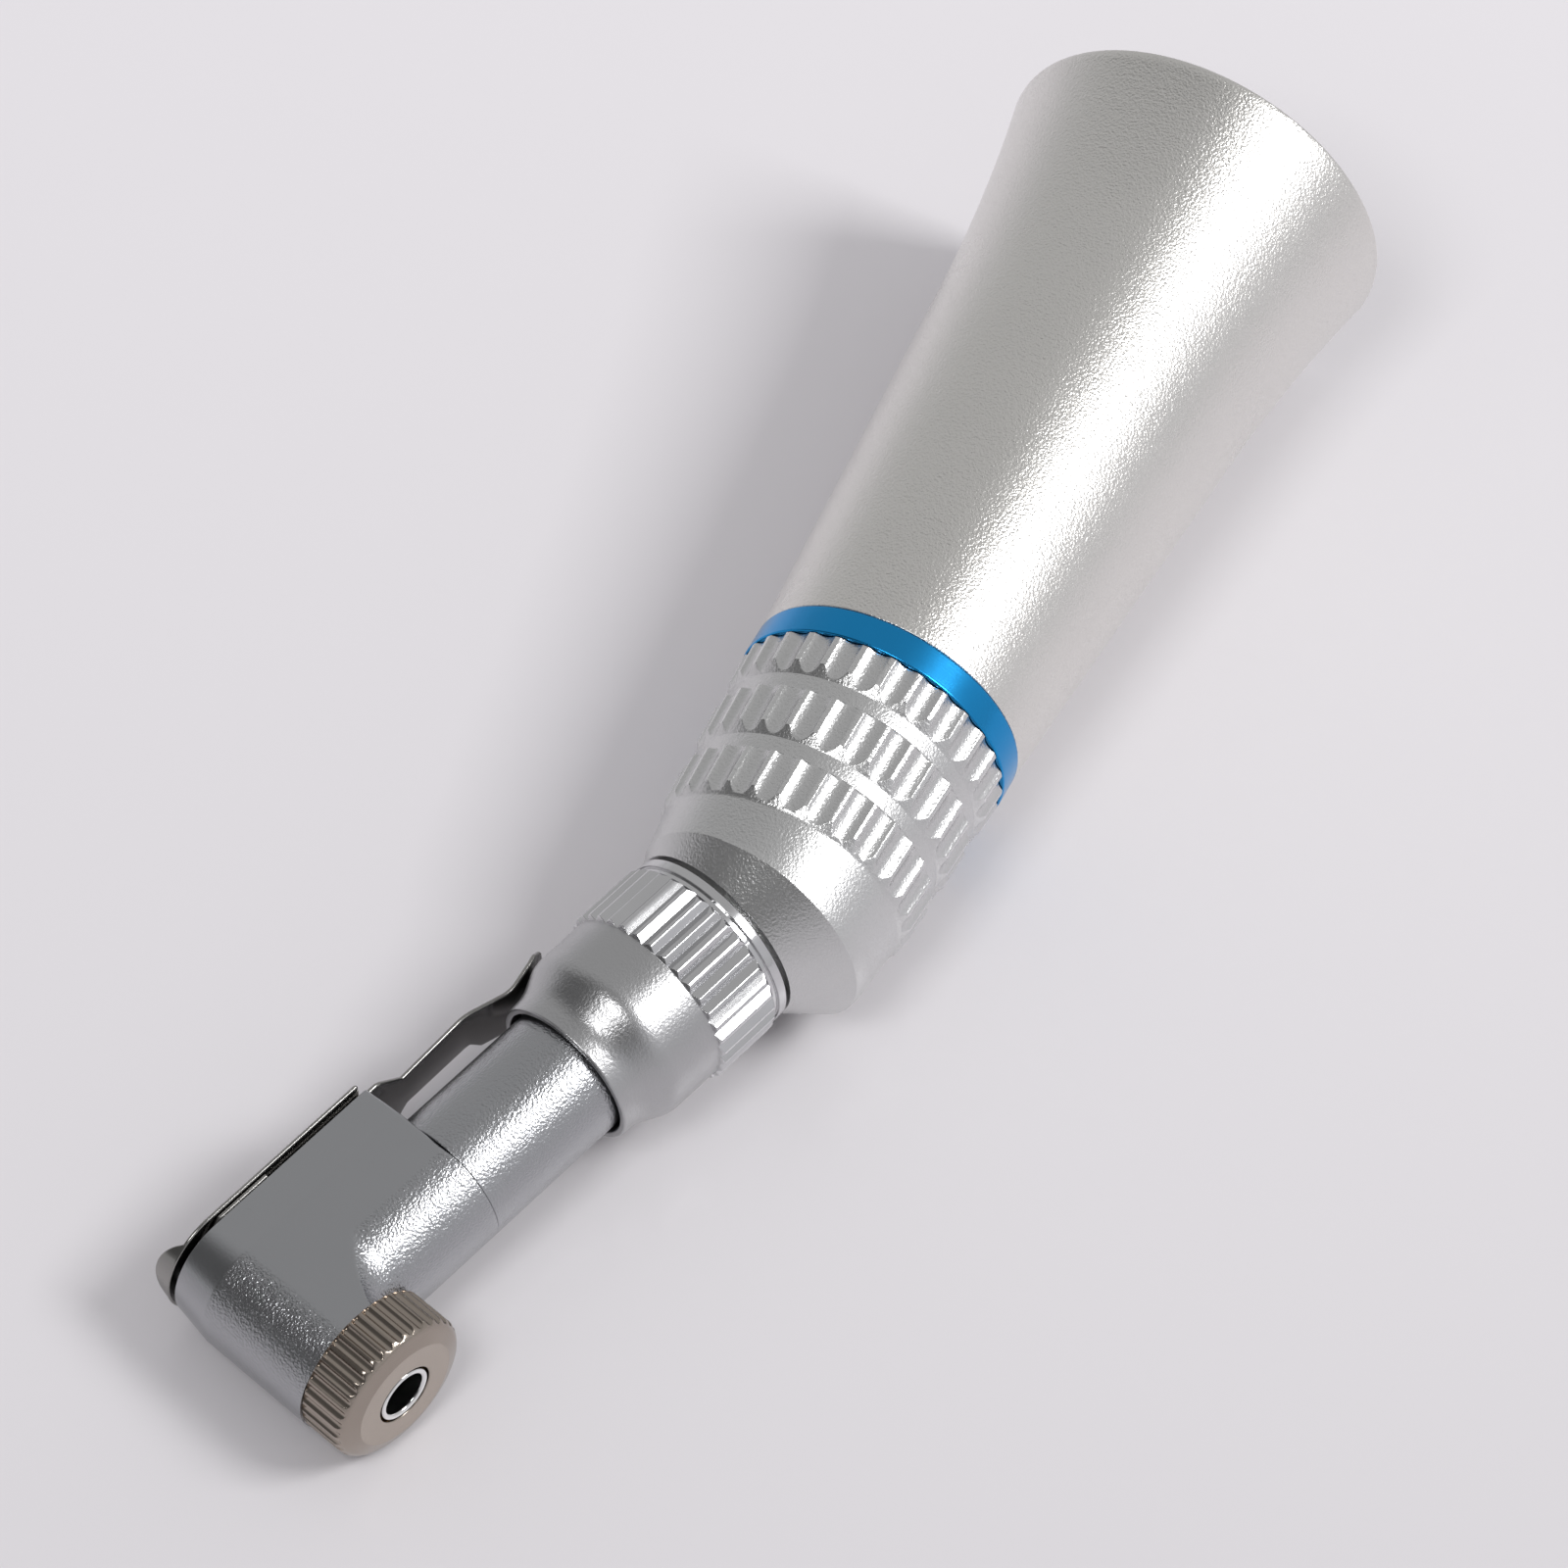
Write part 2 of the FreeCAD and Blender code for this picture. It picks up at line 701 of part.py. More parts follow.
def lock_collar():
    """The ribbed collar: flange, relief, ribs, then the nose that narrows to the neck."""
    relief_s = collar_start_s + collar_flange_length
    rib_s = relief_s + collar_relief_length
    relief_r = collar_crest_r - collar_groove_depth - seat_gap
    turn_r = nose_r - nose_turn_drop
    turn_mid = arc_through(nose_shoulder_s, nose_r, 0.0, nose_turn_s, turn_r)
    turn_slope = math.tan(2.0 * math.atan2(-nose_turn_drop, nose_turn_s - nose_shoulder_s))
    waist_mid = arc_through(nose_turn_s, turn_r, turn_slope, nose_waist_s, nose_waist_r)
    groove_start = snap_ring_s - snap_ring_side_gap
    groove_end = snap_ring_s + snap_ring_width + snap_ring_side_gap
    groove_r = spigot_r + snap_ring_groove
    outline = turned(
        (collar_start_s, collar_bore_r),
        (collar_start_s, collar_flange_r - collar_chamfer),
        (collar_start_s + collar_chamfer, collar_flange_r),
        (relief_s, collar_flange_r),
        (relief_s, relief_r),
        (rib_s, relief_r),
        (rib_s, collar_crest_r - collar_rib_chamfer),
        (rib_s + collar_rib_chamfer, collar_crest_r),
        (collar_rib_end_s, collar_crest_r),
        (collar_rib_end_s + edge_break, nose_r),
        (nose_shoulder_s, nose_r),
        (nose_turn_s, turn_r) + turn_mid,
        (nose_waist_s, nose_waist_r) + waist_mid,
        (nose_end_s - edge_break, nose_lip_r),
        (nose_end_s, nose_lip_r - edge_break),
        (nose_end_s, nose_bore_r),
        (neck_shoulder_s, nose_bore_r),
        (spigot_end_s + edge_break, collar_bore_r),
        (groove_end, collar_bore_r),
        (groove_end, groove_r),
        (groove_start, groove_r),
        (groove_start, collar_bore_r),
    )
    return in_neck(outline.cut(around(collar_groove(), collar_groove_count)))


def collar_snap_ring():
    """The split ring, half in the spigot's groove and half in the collar's."""
    ring = tube(snap_ring_s + 2.0 * seat_gap, snap_ring_s + snap_ring_width - 2.0 * seat_gap,
                spigot_r - snap_ring_groove + 2.0 * seat_gap,
                spigot_r + snap_ring_groove - collar_turn_gap)
    split = block(snap_ring_s - past, snap_ring_s + snap_ring_width + past,
                  -snap_ring_split_half, snap_ring_split_half, 0.0, nose_r + past)
    return in_neck(ring.cut(split))


def neck_collet():
    """A split cone ring that the collar's nose closes round the neck."""
    front_s = neck_shoulder_s - seat_gap
    rear_s = spigot_end_s + seat_gap
    rear_r = spigot_r - collet_gap
    slope = (collar_bore_r - nose_bore_r) / (neck_shoulder_s - spigot_end_s - edge_break)
    ring = turned(
        (rear_s, neck_plug_r + seat_gap),
        (rear_s, rear_r),
        (front_s, rear_r - slope * (front_s - rear_s)),
        (front_s, neck_plug_r + seat_gap),
    )
    slit = block(rear_s + collet_slit_start, front_s + past, -collet_slit_half, collet_slit_half,
                 0.0, nose_r)
    return in_neck(ring.cut(around(slit, collet_slits)))


# Neck
tongue_end_s = neck_seam_s + neck_tongue_length
bush_starts = [neck_ring_s + neck_bush_setback, tongue_end_s - neck_bush_length]


def neck_tube():
    """The neck tube: a plug that fits the spigot, the bare neck and a tongue into the head."""
    groove_r = neck_plug_r - 2.0 * neck_ring_wire + seat_gap
    slot_half = key_r + key_slide_gap
    body = turned(
        (neck_plug_start_s, neck_bore_r),
        (neck_plug_start_s, neck_plug_r),
        (neck_ring_s - neck_ring_half, neck_plug_r),
        (neck_ring_s - neck_ring_half, groove_r),
        (neck_ring_s + neck_ring_half, groove_r),
        (neck_ring_s + neck_ring_half, neck_plug_r),
        (neck_shoulder_s, neck_plug_r),
        (neck_shoulder_s, neck_r),
        (neck_seam_s, neck_r),
        (neck_seam_s, neck_plug_r),
        (tongue_end_s, neck_plug_r),
        (tongue_end_s, neck_bore_r),
    )
    slot = block(neck_plug_start_s - past, key_s, -slot_half, slot_half, 0.0, neck_r)
    eye = Part.makeCylinder(slot_half, neck_r, V(key_s, 0, 0), V(0, 0, 1))
    return in_neck(body.cut([slot, eye]))


def neck_seal():
    """The rubber ring in the plug's groove."""
    centre_r = neck_plug_r - neck_ring_wire + 2.0 * seat_gap
    ring = Part.makeTorus(centre_r, neck_ring_wire - seat_gap, V(neck_ring_s, 0, 0), V(1, 0, 0))
    return in_neck(ring)


def index_key():
    """The pin in the spigot that keeps the neck from turning."""
    low = neck_bore_r + key_end_gap
    return in_neck(Part.makeCylinder(key_r, spigot_r - run_gap - low, V(key_s, 0, low), V(0, 0, 1)))


def neck_bush(s):
    """A plain bronze bush for the neck shaft."""
    return in_neck(tube(s, s + neck_bush_length, neck_shaft_r + run_gap, neck_bore_r - seat_gap))


def neck_shaft():
    """The long shaft through the neck, with a flat tang at its tail."""
    tail = front_shaft_end_s
    end_s = bur_s - head_gear_r + neck_shaft_reach
    shaft = rod(tail, end_s, neck_shaft_r)
    tang = rod(tail - tang_length, tail + edge_break, neck_shaft_r)
    flat = block(tail - tang_length - past, tail + past, -tang_half, tang_half,
                 -neck_shaft_r - past, neck_shaft_r + past)
    return in_neck(joined([shaft, tang.common(flat)]))


def neck_pinion():
    """The head's driving gear, on the end of the neck shaft."""
    gear = bevel_gear(head_teeth, 45.0, head_gear_r, head_face, pinion_hub_r,
                      head_gear_r + pinion_hub_length, neck_shaft_r, head_backlash)
    aim = FreeCAD.Rotation(V(0, 0, 1), 180.0).multiply(FreeCAD.Rotation(V(1, 0, 0), -90.0))
    return in_neck(moved(gear, FreeCAD.Placement(V(bur_s, 0, 0), aim)))


# Head
bur_gear_back_h = head_gear_r + bur_gear_hub_length
bush_top_h = bur_gear_back_h + run_gap
cap_thread_h = bush_top_h - lower_bush_rise
cap_seat_h = cap_thread_h + cap_thread_length
cap_face_h = cap_seat_h + cap_height
bush_end_h = cap_face_h - cap_wall


def stadium(half_width, h):
    """The block's outline seen along the bur: square at the neck, round at the nose."""
    rear_low = V(neck_seam_s, h, -half_width)
    rear_high = V(neck_seam_s, h, half_width)
    front_low = V(nose_centre_s, h, -half_width)
    front_high = V(nose_centre_s, h, half_width)
    tip = V(nose_centre_s + half_width, h, 0)
    return Part.Wire([
        Part.LineSegment(rear_low, front_low).toShape(),
        Part.Arc(front_low, tip, front_high).toShape(),
        Part.LineSegment(front_high, rear_high).toShape(),
        Part.LineSegment(rear_high, rear_low).toShape(),
    ])


def head_housing():
    """The flat-sided head: its neck flares into the block and its back is drafted."""
    nose_end_s = nose_centre_s + neck_r + past
    fillet_end = head_fillet_s + head_fillet_r
    fillet_top = neck_r + head_fillet_r
    fillet_mid = (head_fillet_s + head_fillet_r * math.sqrt(0.5),
                  fillet_top - head_fillet_r * math.sqrt(0.5))
    swept = turned(
        (neck_seam_s, 0.0),
        (neck_seam_s, neck_r),
        (head_fillet_s, neck_r),
        (fillet_end, fillet_top) + fillet_mid,
        (nose_end_s, fillet_top),
        (nose_end_s, 0.0),
    )
    lower = Part.Face(stadium(neck_r, 0.0)).extrude(V(0, cap_seat_h, 0)).common(swept)
    middle = Part.Face(stadium(neck_r, head_crease_h)).extrude(V(0, -head_crease_h, 0))
    top_width = neck_r - (head_crease_h - head_top_h) * math.tan(math.radians(head_draft))
    crown = Part.makeLoft([stadium(neck_r, head_crease_h), stadium(top_width, head_top_h)], True, True)
    body = joined([middle, lower, crown])
    neck_bore = rod(neck_seam_s - past, tongue_end_s, neck_plug_r + seat_gap)
    gear_bore = rod(tongue_end_s - edge_break, bur_s, head_cavity_r)
    cavity = on_bur(rod(head_crease_h, cap_seat_h, head_cavity_r))
    thread = on_bur(rod(cap_thread_h - cap_thread_runout, cap_seat_h + past, cap_thread_r + seat_gap))
    bush_seat = on_bur(rod(head_crease_h - upper_bush_length, 0.0, upper_bush_r))
    shank_hole = on_bur(rod(head_top_h - past, 0.0, bur_tube_r + run_gap))
    pivot_hole = on_bur(rod(head_top_h - past, head_top_h + pivot_depth, pivot_thread_r), pivot_s)
    cover_hole = on_bur(rod(head_top_h - past, head_top_h + cover_screw_depth, cover_screw_r),
                        cover_screw_s)
    return in_neck(body.cut([neck_bore, gear_bore, cavity, thread, bush_seat,
                             shank_hole, pivot_hole, cover_hole]))


def upper_bush():
    """The bronze bush that carries the bur tube's upper end."""
    return in_neck(on_bur(tube(head_crease_h - upper_bush_length, head_crease_h,
                               bur_tube_r + run_gap, upper_bush_r - seat_gap)))


def lower_bush():
    """The bronze bush in the cap, which carries the bur tube's lower end."""
    return in_neck(on_bur(tube(bush_top_h, bush_end_h, bur_tube_r + run_gap, lower_bush_r - seat_gap)))


def end_cap():
    """The knurled screw cap: side, rounded edge, shallow cone and flat face."""
    eye_r = bur_tube_r + bur_eye_gap
    sweep = math.radians(90.0 - cap_cone_angle)
    cone_r = cap_r - cap_edge_r * (1.0 - math.cos(sweep))
    cone_h = cap_face_h - (cone_r - cap_face_r) * math.tan(math.radians(cap_cone_angle))
    edge_h = cone_h - cap_edge_r * math.sin(sweep)
    edge_mid = (edge_h + cap_edge_r * math.sin(sweep / 2.0),
                cap_r - cap_edge_r * (1.0 - math.cos(sweep / 2.0)))
    cap = turned(
        (cap_thread_h, lower_bush_r),
        (cap_thread_h, cap_thread_r),
        (cap_seat_h, cap_thread_r),
        (cap_seat_h, cap_r - edge_break),
        (cap_seat_h + edge_break, cap_r),
        (edge_h, cap_r),
        (cone_h, cone_r) + edge_mid,
        (cap_face_h, cap_face_r),
        (cap_face_h, eye_r),
        (bush_end_h, eye_r),
        (bush_end_h, lower_bush_r),
    )
    high = cap_r - cap_knurl_depth + cap_knurl_r
    cutter = moved(rod(cap_seat_h + edge_break, cap_face_h, cap_knurl_r),
                   FreeCAD.Placement(V(0, 0, high), FreeCAD.Rotation()))
    return in_neck(on_bur(cap.cut(around(cutter, cap_knurl_count))))


def bur_tube():
    """The tube that holds the bur's shank, with a lead at its mouth."""
    bore = shank_r + shank_gap
    return in_neck(on_bur(turned(
        (bur_tube_top_h, bore),
        (bur_tube_top_h, bur_tube_r),
        (cap_face_h - edge_break, bur_tube_r),
        (cap_face_h, bur_tube_r - edge_break),
        (cap_face_h, bore + bur_tube_lead),
        (cap_face_h - bur_tube_lead, bore),
    )))


def bur_gear():
    """The head's driven gear, on the bur tube and turned by half a tooth to mesh."""
    gear = bevel_gear(head_teeth, 45.0, head_gear_r, head_face, bur_gear_hub_r,
                      bur_gear_back_h, bur_tube_r, head_backlash)
    aim = FreeCAD.Rotation(V(1, 0, 0), -90.0 + 180.0 / head_teeth)
    return in_neck(on_bur(moved(gear, FreeCAD.Placement(ORIGIN, aim))))


# Bur latch
latch_low_h = head_top_h - (latch_gap - latch_thickness) / 2.0
latch_high_h = latch_low_h - latch_thickness
cover_low_h = head_top_h - latch_gap
cover_high_h = cover_low_h - cover_thickness


def plate(corners, low_h, high_h):
    """A flat piece of sheet between two heights, from its outline seen along the bur."""
    points = [V(s, low_h, z) for s, z in corners]
    outline = Part.makePolygon(points + [points[0]])
    return Part.Face(outline).extrude(V(0, high_h - low_h, 0))


def latch_side():
    """The lever seen from its side: flat on the head, out, in to the neck, then the curled tip."""
    stations = [
        (latch_front_s, 0.0),
        (strip_start_s, 0.0),
        (tab_start_s, -strip_lift),
        (tab_dip_s, tab_dip),
        (tab_rise_s, tab_rise),
        (tab_lip_s, tab_lip),
        (tab_tip_s, -tab_tip_rise),
    ]
    lower = [V(s, latch_low_h + lift, -far) for s, lift in stations]
    upper = [V(s, latch_high_h + lift, -far) for s, lift in stations]
    outline = Part.makePolygon(lower + upper[::-1] + [lower[0]])
    return Part.Face(outline).extrude(V(0, 0, 2.0 * far))


def latch_plan():
    """The lever seen along the bur: a broad plate, a slim strip and a wider thumb tab."""
    corners = [
        (latch_shoulder_s, plate_half_width),
        (plate_rear_s, plate_half_width),
        (strip_start_s, strip_start_half),
        (tab_start_s, strip_half_width),
        (tab_tip_s + tab_corner, strip_half_width),
        (tab_tip_s, strip_half_width - tab_corner),
        (tab_tip_s, -tab_half_width + tab_corner),
        (tab_tip_s + tab_corner, -tab_half_width),
        (tab_broad_s, -tab_half_width),
        (tab_start_s, -strip_half_width),
        (strip_start_s, -strip_start_half),
        (plate_rear_s, -plate_half_width),
        (latch_shoulder_s - past, -plate_half_width),
        (latch_front_s - latch_nose_corner, -latch_nose_side - latch_nose_corner),
        (latch_front_s, -latch_nose_side),
        (latch_front_s, latch_eye_side - latch_nose_side),
        (latch_front_s - past, latch_eye_side),
        (latch_shoulder_s, latch_eye_side),
    ]
    return plate(corners, head_top_h + tab_dip, cover_high_h - tab_tip_rise - past)


def latch_lever():
    """The lever with its pivot hole and the keyhole that grips or frees the bur shank."""
    reach = bur_s - pivot_s
    swing = math.radians(latch_swing)
    low_h = latch_high_h - past
    height = latch_thickness + 2.0 * past
    across = V(0, 1, 0)
    eye_at = V(pivot_s + reach * math.cos(swing), low_h, reach * math.sin(swing))
    eye = Part.makeCylinder(shank_r + latch_eye_gap, height, eye_at, across)
    path = on_bur(tube(low_h, low_h + height, reach - latch_slot_half, reach + latch_slot_half),
                  pivot_s)
    sector = plate([(pivot_s, 0.0), (pivot_s + 2.0 * reach, 0.0),
                    (pivot_s + 2.0 * reach * math.cos(swing), 2.0 * reach * math.sin(swing))],
                   low_h, low_h + height)
    slot_end = Part.makeCylinder(latch_slot_half, height, V(bur_s, low_h, 0), across)
    pivot = Part.makeCylinder(pivot_r + run_gap, height, V(pivot_s, low_h, 0), across)
    lever = latch_side().common(latch_plan())
    return in_neck(lever.cut([eye, path.common(sector), slot_end, pivot]))


def cover_lip():
    """The upturned lip on the cover's nose: a short wall with a round top."""
    wall = on_bur(tube(cover_high_h - cover_lip_height, cover_low_h,
                       cover_half_width - cover_lip_wall, cover_half_width), nose_centre_s)
    aim = math.radians(cover_lip_angle)
    low_h = cover_high_h - cover_lip_height + cover_lip_curve_r
    crown = Part.makeCylinder(cover_lip_curve_r, 2.0 * cover_half_width, V(nose_centre_s, low_h, 0),
                              V(math.cos(aim), 0, math.sin(aim)))
    return wall.common(crown)


def latch_cover():
    """The thin plate over the lever, with its lip and a boss that stands on the head."""
    half = cover_half_width
    body = joined([
        plate([(cover_rear_s, -half), (nose_centre_s, -half), (nose_centre_s, half),
               (cover_rear_s, half)], cover_low_h, cover_high_h),
        on_bur(rod(cover_high_h, cover_low_h, half), nose_centre_s),
        on_bur(rod(cover_low_h - edge_break, head_top_h, cover_boss_r), cover_screw_s),
        cover_lip(),
    ])
    pivot = on_bur(rod(cover_high_h - past, cover_low_h + past, pivot_r + seat_gap), pivot_s)
    screw = on_bur(rod(cover_high_h - past, head_top_h + past, cover_screw_r), cover_screw_s)
    return in_neck(body.cut([pivot, screw]))


def slotted_screw(head_r, head_height, stem_r, tip_h):
    """A screw along h with a domed, slotted head that sits on the cover."""
    top_h = cover_high_h - head_height
    screw = turned((top_h, 0.0), (top_h, head_r - screw_head_slope), (top_h + screw_head_rim, head_r),
                   (cover_high_h, head_r), (cover_high_h, stem_r), (tip_h, stem_r), (tip_h, 0.0))
    slot = block(top_h - past, top_h + head_height / 2.0, -screw_slot_half, screw_slot_half,
                 -head_r - past, head_r + past)
    return screw.cut(slot)


def latch_pivot_screw():
    """The screw that the lever turns on."""
    head = slotted_screw(pivot_head_r, pivot_head, pivot_r, head_top_h)
    thread = rod(head_top_h - edge_break, head_top_h + pivot_depth, pivot_thread_r)
    return in_neck(on_bur(joined([head, thread]), pivot_s))


def cover_screw():
    """The small screw that holds the cover's nose."""
    screw = slotted_screw(cover_screw_head_r, cover_screw_head, cover_screw_r,
                          head_top_h + cover_screw_depth)
    return in_neck(on_bur(screw, cover_screw_s))


PIECES = {
    "rear_sleeve": rear_sleeve(),
    "blue_band": blue_band(),
    "grip_body": grip_body(),
    "motor_socket": motor_socket(),
    "socket_lock_nut": socket_lock_nut(),
    "socket_snap_ring": socket_snap_ring(),
    "rear_shaft": rear_shaft(),
    "rear_bend_gear": rear_bend_gear(),
    "rear_bearing_inner_rings": Part.makeCompound([pair[0] for pair in rear_pairs]),
    "rear_bearing_outer_rings": Part.makeCompound([pair[1] for pair in rear_pairs]),
    "rear_bearing_balls": Part.makeCompound(
        [ball for x in rear_starts for ball in race_balls(x, rear_bearing_width, rear_pitch_r, rear_ball_r)]),
    "bearing_spacer": bearing_spacer(),
    "bearing_lock_ring": bearing_lock_ring(),
    "front_bend_gear": front_bend_gear(),
    "front_shaft": front_shaft(),
    "front_bearing_inner_rings": in_neck(Part.makeCompound([pair[0] for pair in front_pairs])),
    "front_bearing_outer_rings": in_neck(Part.makeCompound([pair[1] for pair in front_pairs])),
    "front_bearing_balls": in_neck(Part.makeCompound(
        [ball for s in front_starts for ball in race_balls(s, front_bearing_width, front_pitch_r, front_ball_r)])),
    "lock_collar": lock_collar(),
    "collar_snap_ring": collar_snap_ring(),
    "neck_collet": neck_collet(),
    "neck_tube": neck_tube(),
    "neck_seal": neck_seal(),
    "index_key": index_key(),
    "neck_rear_bush": neck_bush(bush_starts[0]),
    "neck_front_bush": neck_bush(bush_starts[1]),
    "neck_shaft": neck_shaft(),
    "neck_pinion": neck_pinion(),
    "head_housing": head_housing(),
    "upper_bush": upper_bush(),
    "lower_bush": lower_bush(),
    "end_cap": end_cap(),
    "bur_tube": bur_tube(),
    "bur_gear": bur_gear(),
    "latch_lever": latch_lever(),
    "latch_cover": latch_cover(),
    "latch_pivot_screw": latch_pivot_screw(),
    "cover_screw": cover_screw(),
}

# Lay the handpiece on its side: rolled about the rear body, then pitched nose up or down,
# and set down with the middle of its base at the origin.
roll = FreeCAD.Rotation(V(1, 0, 0), rest_roll)
pitch = FreeCAD.Rotation(V(0, 1, 0), -rest_pitch)
lying = FreeCAD.Placement(ORIGIN, pitch.multiply(roll))
laid = {name: moved(shape, lying) for name, shape in PIECES.items()}
whole = Part.makeCompound(list(laid.values())).optimalBoundingBox(False, False)
base = V(-(whole.XMin + whole.XMax) / 2.0, -(whole.YMin + whole.YMax) / 2.0, -whole.ZMin)
print("moved by", base.x, base.y, base.z)

os.makedirs("parts", exist_ok=True)
for name, shape in laid.items():
    solid = moved(shape, FreeCAD.Placement(base, FreeCAD.Rotation()))
    solid.exportStep("parts/" + name + ".step")
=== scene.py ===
import json
import math

import bmesh
import bpy
import numpy as np
from bpy.props import FloatProperty, FloatVectorProperty, IntProperty, PointerProperty
from mathutils import Matrix, Vector

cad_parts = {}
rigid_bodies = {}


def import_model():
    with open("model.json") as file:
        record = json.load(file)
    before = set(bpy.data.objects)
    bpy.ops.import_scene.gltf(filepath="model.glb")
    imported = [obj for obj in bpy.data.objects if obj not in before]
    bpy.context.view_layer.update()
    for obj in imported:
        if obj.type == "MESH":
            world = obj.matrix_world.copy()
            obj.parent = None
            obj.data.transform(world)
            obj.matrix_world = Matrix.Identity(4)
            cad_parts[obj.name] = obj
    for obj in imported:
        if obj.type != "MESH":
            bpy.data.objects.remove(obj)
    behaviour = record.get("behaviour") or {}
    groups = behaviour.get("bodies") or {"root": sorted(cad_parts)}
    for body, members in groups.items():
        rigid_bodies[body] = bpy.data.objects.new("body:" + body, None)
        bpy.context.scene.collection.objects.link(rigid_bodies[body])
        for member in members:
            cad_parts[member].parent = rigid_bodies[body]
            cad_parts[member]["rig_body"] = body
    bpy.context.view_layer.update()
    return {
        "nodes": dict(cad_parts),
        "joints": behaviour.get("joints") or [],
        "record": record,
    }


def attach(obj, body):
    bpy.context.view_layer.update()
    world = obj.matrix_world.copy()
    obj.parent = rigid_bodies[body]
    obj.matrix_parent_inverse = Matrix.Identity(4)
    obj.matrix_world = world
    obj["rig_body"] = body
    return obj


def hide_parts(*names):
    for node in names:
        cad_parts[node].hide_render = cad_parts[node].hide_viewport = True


bl_info = {
    "name": "Contra-angle handpiece looks",
    "version": (1, 0, 0),
    "blender": (4, 5, 0),
    "location": "3D View > Sidebar > Handpiece",
    "description": "Builds the visible skins, finishes and stage of a dental contra-angle handpiece",
    "category": "Object",
}

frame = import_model()
NODES = frame["nodes"]
SLOTS = {part["node"]: part["material_slot"] for part in frame["record"]["subparts"]}
MM = 0.001
QUARTER_TURN = math.pi / 2.0

# Points of a skin this near are one point, and edges turned more than this stay crisp
MERGE_GAP = 4e-7
CRISP_ANGLE = math.radians(34.0)

# Millimetres that two pieces share: the bore on the grip's spigot, the cap's seat and face
# along the bur, and the middle of the head's round nose along the neck
SPIGOT_BORE = 6.5
CAP_SEAT = 3.89
CAP_FACE = 6.8
NOSE_CENTRE = 34.2

# The camera's place, right and up in the rear body's drafting frame
CAMERA_PLACE = (-148.27, -87.697, 259.865)
CAMERA_RIGHT = np.array([0.455365, -0.889379, -0.040597])
CAMERA_UP = np.array([0.745966, 0.356253, 0.562688])

# The drafting frames of the part, read from its joints: each is an origin and three
# directions. X runs to the motor, along the neck, or the way the bur leaves the head.
joints = {joint["name"]: joint for joint in frame["joints"]}


def way(name):
    """The unit direction of a joint's axis."""
    axis = np.array(joints[name]["axis"], float)
    return axis / np.linalg.norm(axis)


NECK_WAY = way("front_shaft_spin")
BUR_WAY = way("bur_spin")
REAR_WAY = -way("rear_shaft_spin")
UP_WAY = np.cross(NECK_WAY, BUR_WAY)
bur_point = np.array(joints["bur_spin"]["pos_m"])
rear_point = np.array(joints["rear_shaft_spin"]["pos_m"])
reach = np.linalg.lstsq(np.stack([REAR_WAY, -NECK_WAY], 1), bur_point - rear_point, rcond=None)[0]
BEND_POINT = rear_point + reach[0] * REAR_WAY
REAR = (BEND_POINT, np.stack([REAR_WAY, np.cross(UP_WAY, REAR_WAY), UP_WAY]))
NECK = (BEND_POINT, np.stack([NECK_WAY, BUR_WAY, UP_WAY]))
BUR = (bur_point, np.stack([BUR_WAY, -NECK_WAY, UP_WAY]))
BUR_S = np.linalg.norm(bur_point - BEND_POINT) / MM
BEND_COS = float(-NECK_WAY @ REAR_WAY)
BEND_SIN = math.sqrt(1.0 - BEND_COS ** 2)


def length(name, description, millimetres):
    """A length property, held in metres, from a size in millimetres."""
    return FloatProperty(name=name, description=description, default=millimetres * MM,
                         min=0.0, unit="LENGTH", precision=5)


def tint(name, description, red, green, blue):
    """A colour property in linear light."""
    return FloatVectorProperty(name=name, description=description, default=(red, green, blue),
                               min=0.0, max=1.0, size=3, subtype="COLOR")


class HandpieceSizes(bpy.types.PropertyGroup):
    sleeve_front: length("Sleeve front", "Its front, from the bend", 11.2)
    sleeve_end: length("Sleeve end", "Its mouth, from the bend", 48.08)
    sleeve_radius: length("Sleeve radius", "Radius at its front", 7.45)
    sleeve_slope: FloatProperty(name="Sleeve taper", description="Half angle of its cone",
                                default=math.radians(3.66), subtype="ANGLE", unit="ROTATION")
    flare_start: length("Flare start", "Where it starts to flare", 34.5)
    rim_radius: length("Rim radius", "Radius of the mouth", 10.735)
    rim_lip: length("Rim lip", "Wall at the mouth", 0.8)
    band_width: length("Band width", "Its width", 1.7)
    flute_count: IntProperty(name="Grip scallops", description="Scallops in one row", default=30)
    flute_depth: length("Scallop depth", "Depth of one scallop", 0.26)
    flute_radius: length("Scallop radius", "Radius of their cutter", 1.0)
    dome_radius: length("Dome radius", "Radius of the grip's dome", 6.4)
    dome_round: length("Dome rounding", "Its rounding", 3.0)
    collar_count: IntProperty(name="Collar flutes", description="Flutes round the collar", default=35)
    collar_radius: length("Collar radius", "Radius over its ribs", 5.2)
    nose_radius: length("Nose radius", "Radius of the satin nose", 4.92)
    neck_radius: length("Neck radius", "Radius of the tube", 3.5)
    head_crease: length("Head crease", "Where its sides start to taper, from the bend's plane", 2.8)
    head_top: length("Head top", "Where its back face is, from the bend's plane", 5.08)
    cap_radius: length("Cap radius", "Radius of the end cap", 4.0)
    cap_count: IntProperty(name="Cap flutes", description="Flutes round the cap", default=36)
    bur_hole: length("Bur hole", "Radius of the bur tube's bore", 1.19)


